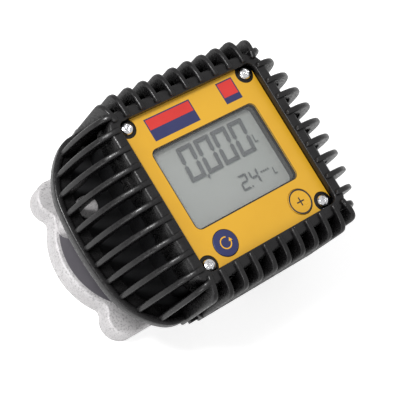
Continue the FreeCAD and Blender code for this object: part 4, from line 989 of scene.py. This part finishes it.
@dataclass(frozen=True)
class PanelPrint:
    """Plain coloured fields and key signs on the yellow film, in millimetres.

    All are raised by the ink's thickness. window is left, low, right and high; ring and arrow
    are an inner and an outer radius; the tip fields are the arrow head's half width, its base
    behind the arrow's end and its length.
    """

    film_top: float
    key_top: float
    reset: tuple[float, float]
    cal: tuple[float, float]
    ink: float = 0.03
    fields: tuple[Field, ...] = (Field(-26.3, 25.3, 0.8, 36.9, 5.7), Field(18.2, 26.4, 28.2, 37.9, 3.2))
    window: tuple[float, float, float, float] = (-31.5, -20.45, 31.5, 22.05)
    window_corner: float = 3.0
    border: float = 0.35
    ring: tuple[float, float] = (5.6, 6.35)
    plus_reach: float = 2.2
    plus_half: float = 0.35
    arrow: tuple[float, float] = (2.5, 3.1)
    arrow_start: float = 60.0
    arrow_centre: float = 2.8
    tip_half: float = 1.1
    tip_back: float = 0.1
    tip_length: float = 1.7
    corner_points: int = 8
    arrow_points: int = 32

    def window_loop(self, spread: float) -> np.ndarray:
        """Return the window's rounded outline, spread outward; its corners are quarter circles."""
        left, low, right, high = self.window
        radius = self.window_corner
        arcs = []
        for x, y, start in ((right, high, 0), (left, high, 90), (left, low, 180), (right, low, 270)):
            turns = np.radians(np.linspace(start, start + 90, self.corner_points))
            heart = np.array([x - math.copysign(radius, x), y - math.copysign(radius, y)])
            arcs.append(heart + (radius + spread) * np.column_stack([np.cos(turns), np.sin(turns)]))
        return np.vstack(arcs)

    def build_fields(self, navy: bpy.types.Material, red: bpy.types.Material,
                     dark: bpy.types.Material) -> None:
        """Make the coloured fields in the upper corners and the dark line round the window."""
        low, high = self.film_top, self.film_top + self.ink
        wholes = [prism(field.dark(), low, high) for field in self.fields]
        mesh_piece("print_navy_fields", *joined(wholes), navy, "meter", Slot.FILM)
        border = band(self.window_loop(0.0), self.window_loop(self.border), low, high)
        mesh_piece("window_border", *border, dark, "meter", Slot.FILM)
        tops = [prism(field.bright(), high, high + self.ink) for field in self.fields]
        mesh_piece("print_red_fields", *joined(tops), red, "meter", Slot.FILM)

    def plus(self) -> list[np.ndarray]:
        """Return the plus as three rectangles that meet without overlapping."""
        (x, y), reach, half = self.cal, self.plus_reach, self.plus_half
        return [rectangle(x - reach, y - half, x + reach, y + half),
                rectangle(x - half, y + half, x + half, y + reach),
                rectangle(x - half, y - reach, x + half, y - half)]

    def build_signs(self, dark: bpy.types.Material, yellow: bpy.types.Material) -> None:
        """Make the ring and plus on one key and the turning arrow on the other."""
        low, high = self.key_top, self.key_top + self.ink
        ring = band(*(circle(self.cal, radius) for radius in self.ring), low, high)
        bars = [prism(outline, low, high) for outline in self.plus()]
        mesh_piece("cal_key_sign", *joined([ring, *bars]), dark, "cal_key", Slot.YELLOW_KEY)
        turns = np.radians(np.linspace(self.arrow_start, 360, self.arrow_points))
        spokes = np.column_stack([np.cos(turns), np.sin(turns)])
        inner, outer = (np.array(self.reset) + radius * spokes for radius in self.arrow)
        loop = np.vstack([outer, inner[::-1]])
        tip = np.array(self.reset) + (self.arrow_centre, 0)
        head = tip + [(-self.tip_half, -self.tip_back), (self.tip_half, -self.tip_back),
                      (0.0, self.tip_length)]
        mesh_piece("reset_key_sign", *joined([prism(loop, low, high), prism(head, low, high + self.ink)]),
                   yellow, "reset_key", Slot.NAVY)


# ---------------------------------------------------------------- stage


@dataclass(frozen=True)
class Lamp:
    """A square soft light, in metres and watts."""

    name: str
    place: tuple[float, float, float]
    size: float
    power: float

    def hang(self, target: Vector) -> None:
        """Add the light to the scene, turned toward the target."""
        data = bpy.data.lights.new(self.name, "AREA")
        data.shape = "SQUARE"
        data.size = self.size
        data.energy = self.power
        lamp = bpy.data.objects.new(self.name, data)
        place = Vector(self.place)
        turned = (target - place).to_track_quat("-Z", "Y").to_matrix()
        lamp.matrix_world = Matrix.Translation(place) @ turned.to_4x4()
        bpy.context.scene.collection.objects.link(lamp)


@dataclass(frozen=True)
class Stage:
    """Pale floor, white surroundings, soft lights and the camera."""

    eye: tuple[float, float, float] = (-0.30095, -0.06362, 0.54948)
    right: tuple[float, float, float] = (0.76326, -0.51607, 0.38879)
    upward: tuple[float, float, float] = (0.40342, 0.85072, 0.33693)
    backward: tuple[float, float, float] = (-0.50455, -0.10029, 0.85758)
    lens: float = 108.0
    sensor: float = 36.0
    nearest: float = 0.01
    farthest: float = 20.0
    floor_half: float = 3.0
    floor_tone: float = 0.93
    floor_roughness: float = 0.9
    floor_glow: float = 0.45
    daylight: float = 0.6
    target: tuple[float, float, float] = (0.0, 0.0, 0.04)
    lamps: tuple[Lamp, ...] = (Lamp("key_light", (-0.45, 0.30, 0.80), 0.22, 6.5),
                               Lamp("side_light", (-0.8, -0.35, 0.45), 0.3, 1.5))

    def camera(self) -> None:
        """Place the camera by its eye and its three axes."""
        data = bpy.data.cameras.new("camera")
        data.lens = self.lens
        data.sensor_width = self.sensor
        data.clip_start = self.nearest
        data.clip_end = self.farthest
        camera = bpy.data.objects.new("camera", data)
        turned = Matrix((self.right, self.upward, self.backward)).transposed()
        camera.matrix_world = Matrix.Translation(Vector(self.eye)) @ turned.to_4x4()
        bpy.context.scene.collection.objects.link(camera)
        bpy.context.scene.camera = camera

    def floor(self) -> None:
        """Make a wide plain floor that glows a little for the camera only."""
        half = self.floor_half
        mesh = bpy.data.meshes.new("floor")
        corners = [(-half, -half, 0), (half, -half, 0), (half, half, 0), (-half, half, 0)]
        mesh.from_pydata(corners, [], [(0, 1, 2, 3)])
        floor = bpy.data.objects.new("floor", mesh)
        bpy.context.scene.collection.objects.link(floor)
        material = bpy.data.materials.new("floor_white")
        material.use_nodes = True
        surface = material.node_tree.nodes["Principled BSDF"]
        surface.inputs["Base Color"].default_value = (*[self.floor_tone] * 3, 1)
        surface.inputs["Roughness"].default_value = self.floor_roughness
        surface.inputs["Emission Color"].default_value = WHITE
        graph = Graph(material.node_tree)
        path = graph.add("LightPath")
        glow = graph.math("MULTIPLY", path.outputs["Is Camera Ray"], self.floor_glow)
        graph.link(glow, surface.inputs["Emission Strength"])
        mesh.materials.append(material)

    def world(self) -> None:
        """Light from all round: plain white for the camera, softer for everything else."""
        world = bpy.data.worlds.new("world")
        bpy.context.scene.world = world
        world.use_nodes = True
        graph = Graph(world.node_tree)
        world.node_tree.nodes.clear()
        seen = graph.add("Background", {"Color": WHITE, "Strength": 1.0})
        lit = graph.add("Background", {"Color": WHITE, "Strength": self.daylight})
        path = graph.add("LightPath")
        mixed = graph.add("MixShader")
        leave = graph.add("OutputWorld")
        graph.link(path.outputs["Is Camera Ray"], mixed.inputs["Fac"])
        graph.link(lit.outputs[0], mixed.inputs[1])
        graph.link(seen.outputs[0], mixed.inputs[2])
        graph.link(mixed.outputs[0], leave.inputs["Surface"])

    def build(self) -> None:
        """Set up the whole stage."""
        self.camera()
        self.floor()
        self.world()
        for lamp in self.lamps:
            lamp.hang(Vector(self.target))
        bpy.context.scene.view_settings.view_transform = "Standard"


# ---------------------------------------------------------------- assembly


class FlowMeter:
    """Dresses the CAD nodes and adds the detail pieces.

    The constants are millimetres: the digits and their shadow above the display's glass, and the
    hoop's underside above the housing's.
    """

    DIGITS_ABOVE = 0.55
    SHADOW_ABOVE = 0.06
    HOOP_ABOVE = 0.5

    def __init__(self, frame: dict) -> None:
        self.frame = frame
        self.group = SurfaceGroup()
        self.materials = {slot: finish.build(self.group) for slot, finish in FINISHES.items()}

    def dress(self) -> None:
        """Give every CAD node the finish of its slot."""
        for part in self.frame["record"]["subparts"]:
            material = self.materials[Slot(part["material_slot"])]
            node = self.frame["nodes"][part["node"]]
            node.data.materials.clear()
            node.data.materials.append(material)

    def middle(self, node: str) -> tuple[float, float]:
        """Return the middle of a node's box across the display, in millimetres."""
        low, high = (np.array(corner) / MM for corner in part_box(node))
        centre = (low + high) / 2
        return float(centre[0]), float(centre[1])

    def top(self, node: str) -> float:
        """Return the height of a node's top in millimetres."""
        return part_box(node)[1][2] / MM

    def build(self) -> None:
        """Dress the nodes and make every piece."""
        self.dress()
        display = self.top("display_module")
        reading = Reading(display + self.DIGITS_ABOVE, display + self.SHADOW_ABOVE)
        reading.build(SEGMENT_DARK.build(self.group), SEGMENT_SHADE.build(self.group))
        base_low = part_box("display_housing")[0][2] / MM
        boot = RubberBoot(BootFrame(self.top("panel_film")), Hoop(base_low + self.HOOP_ABOVE))
        boot.build(self.materials[Slot.BOOT])
        printed = PanelPrint(self.top("panel_film"), self.top("reset_button"),
                             self.middle("reset_button"), self.middle("cal_button"))
        dark = INK_DARK.build(self.group)
        printed.build_fields(INK_NAVY.build(self.group), INK_RED.build(self.group), dark)
        printed.build_signs(dark, INK_YELLOW.build(self.group))


def main() -> None:
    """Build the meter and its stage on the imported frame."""
    logging.basicConfig(level=logging.INFO)
    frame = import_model()
    FlowMeter(frame).build()
    Stage().build()


if __name__ == "__main__":
    main()
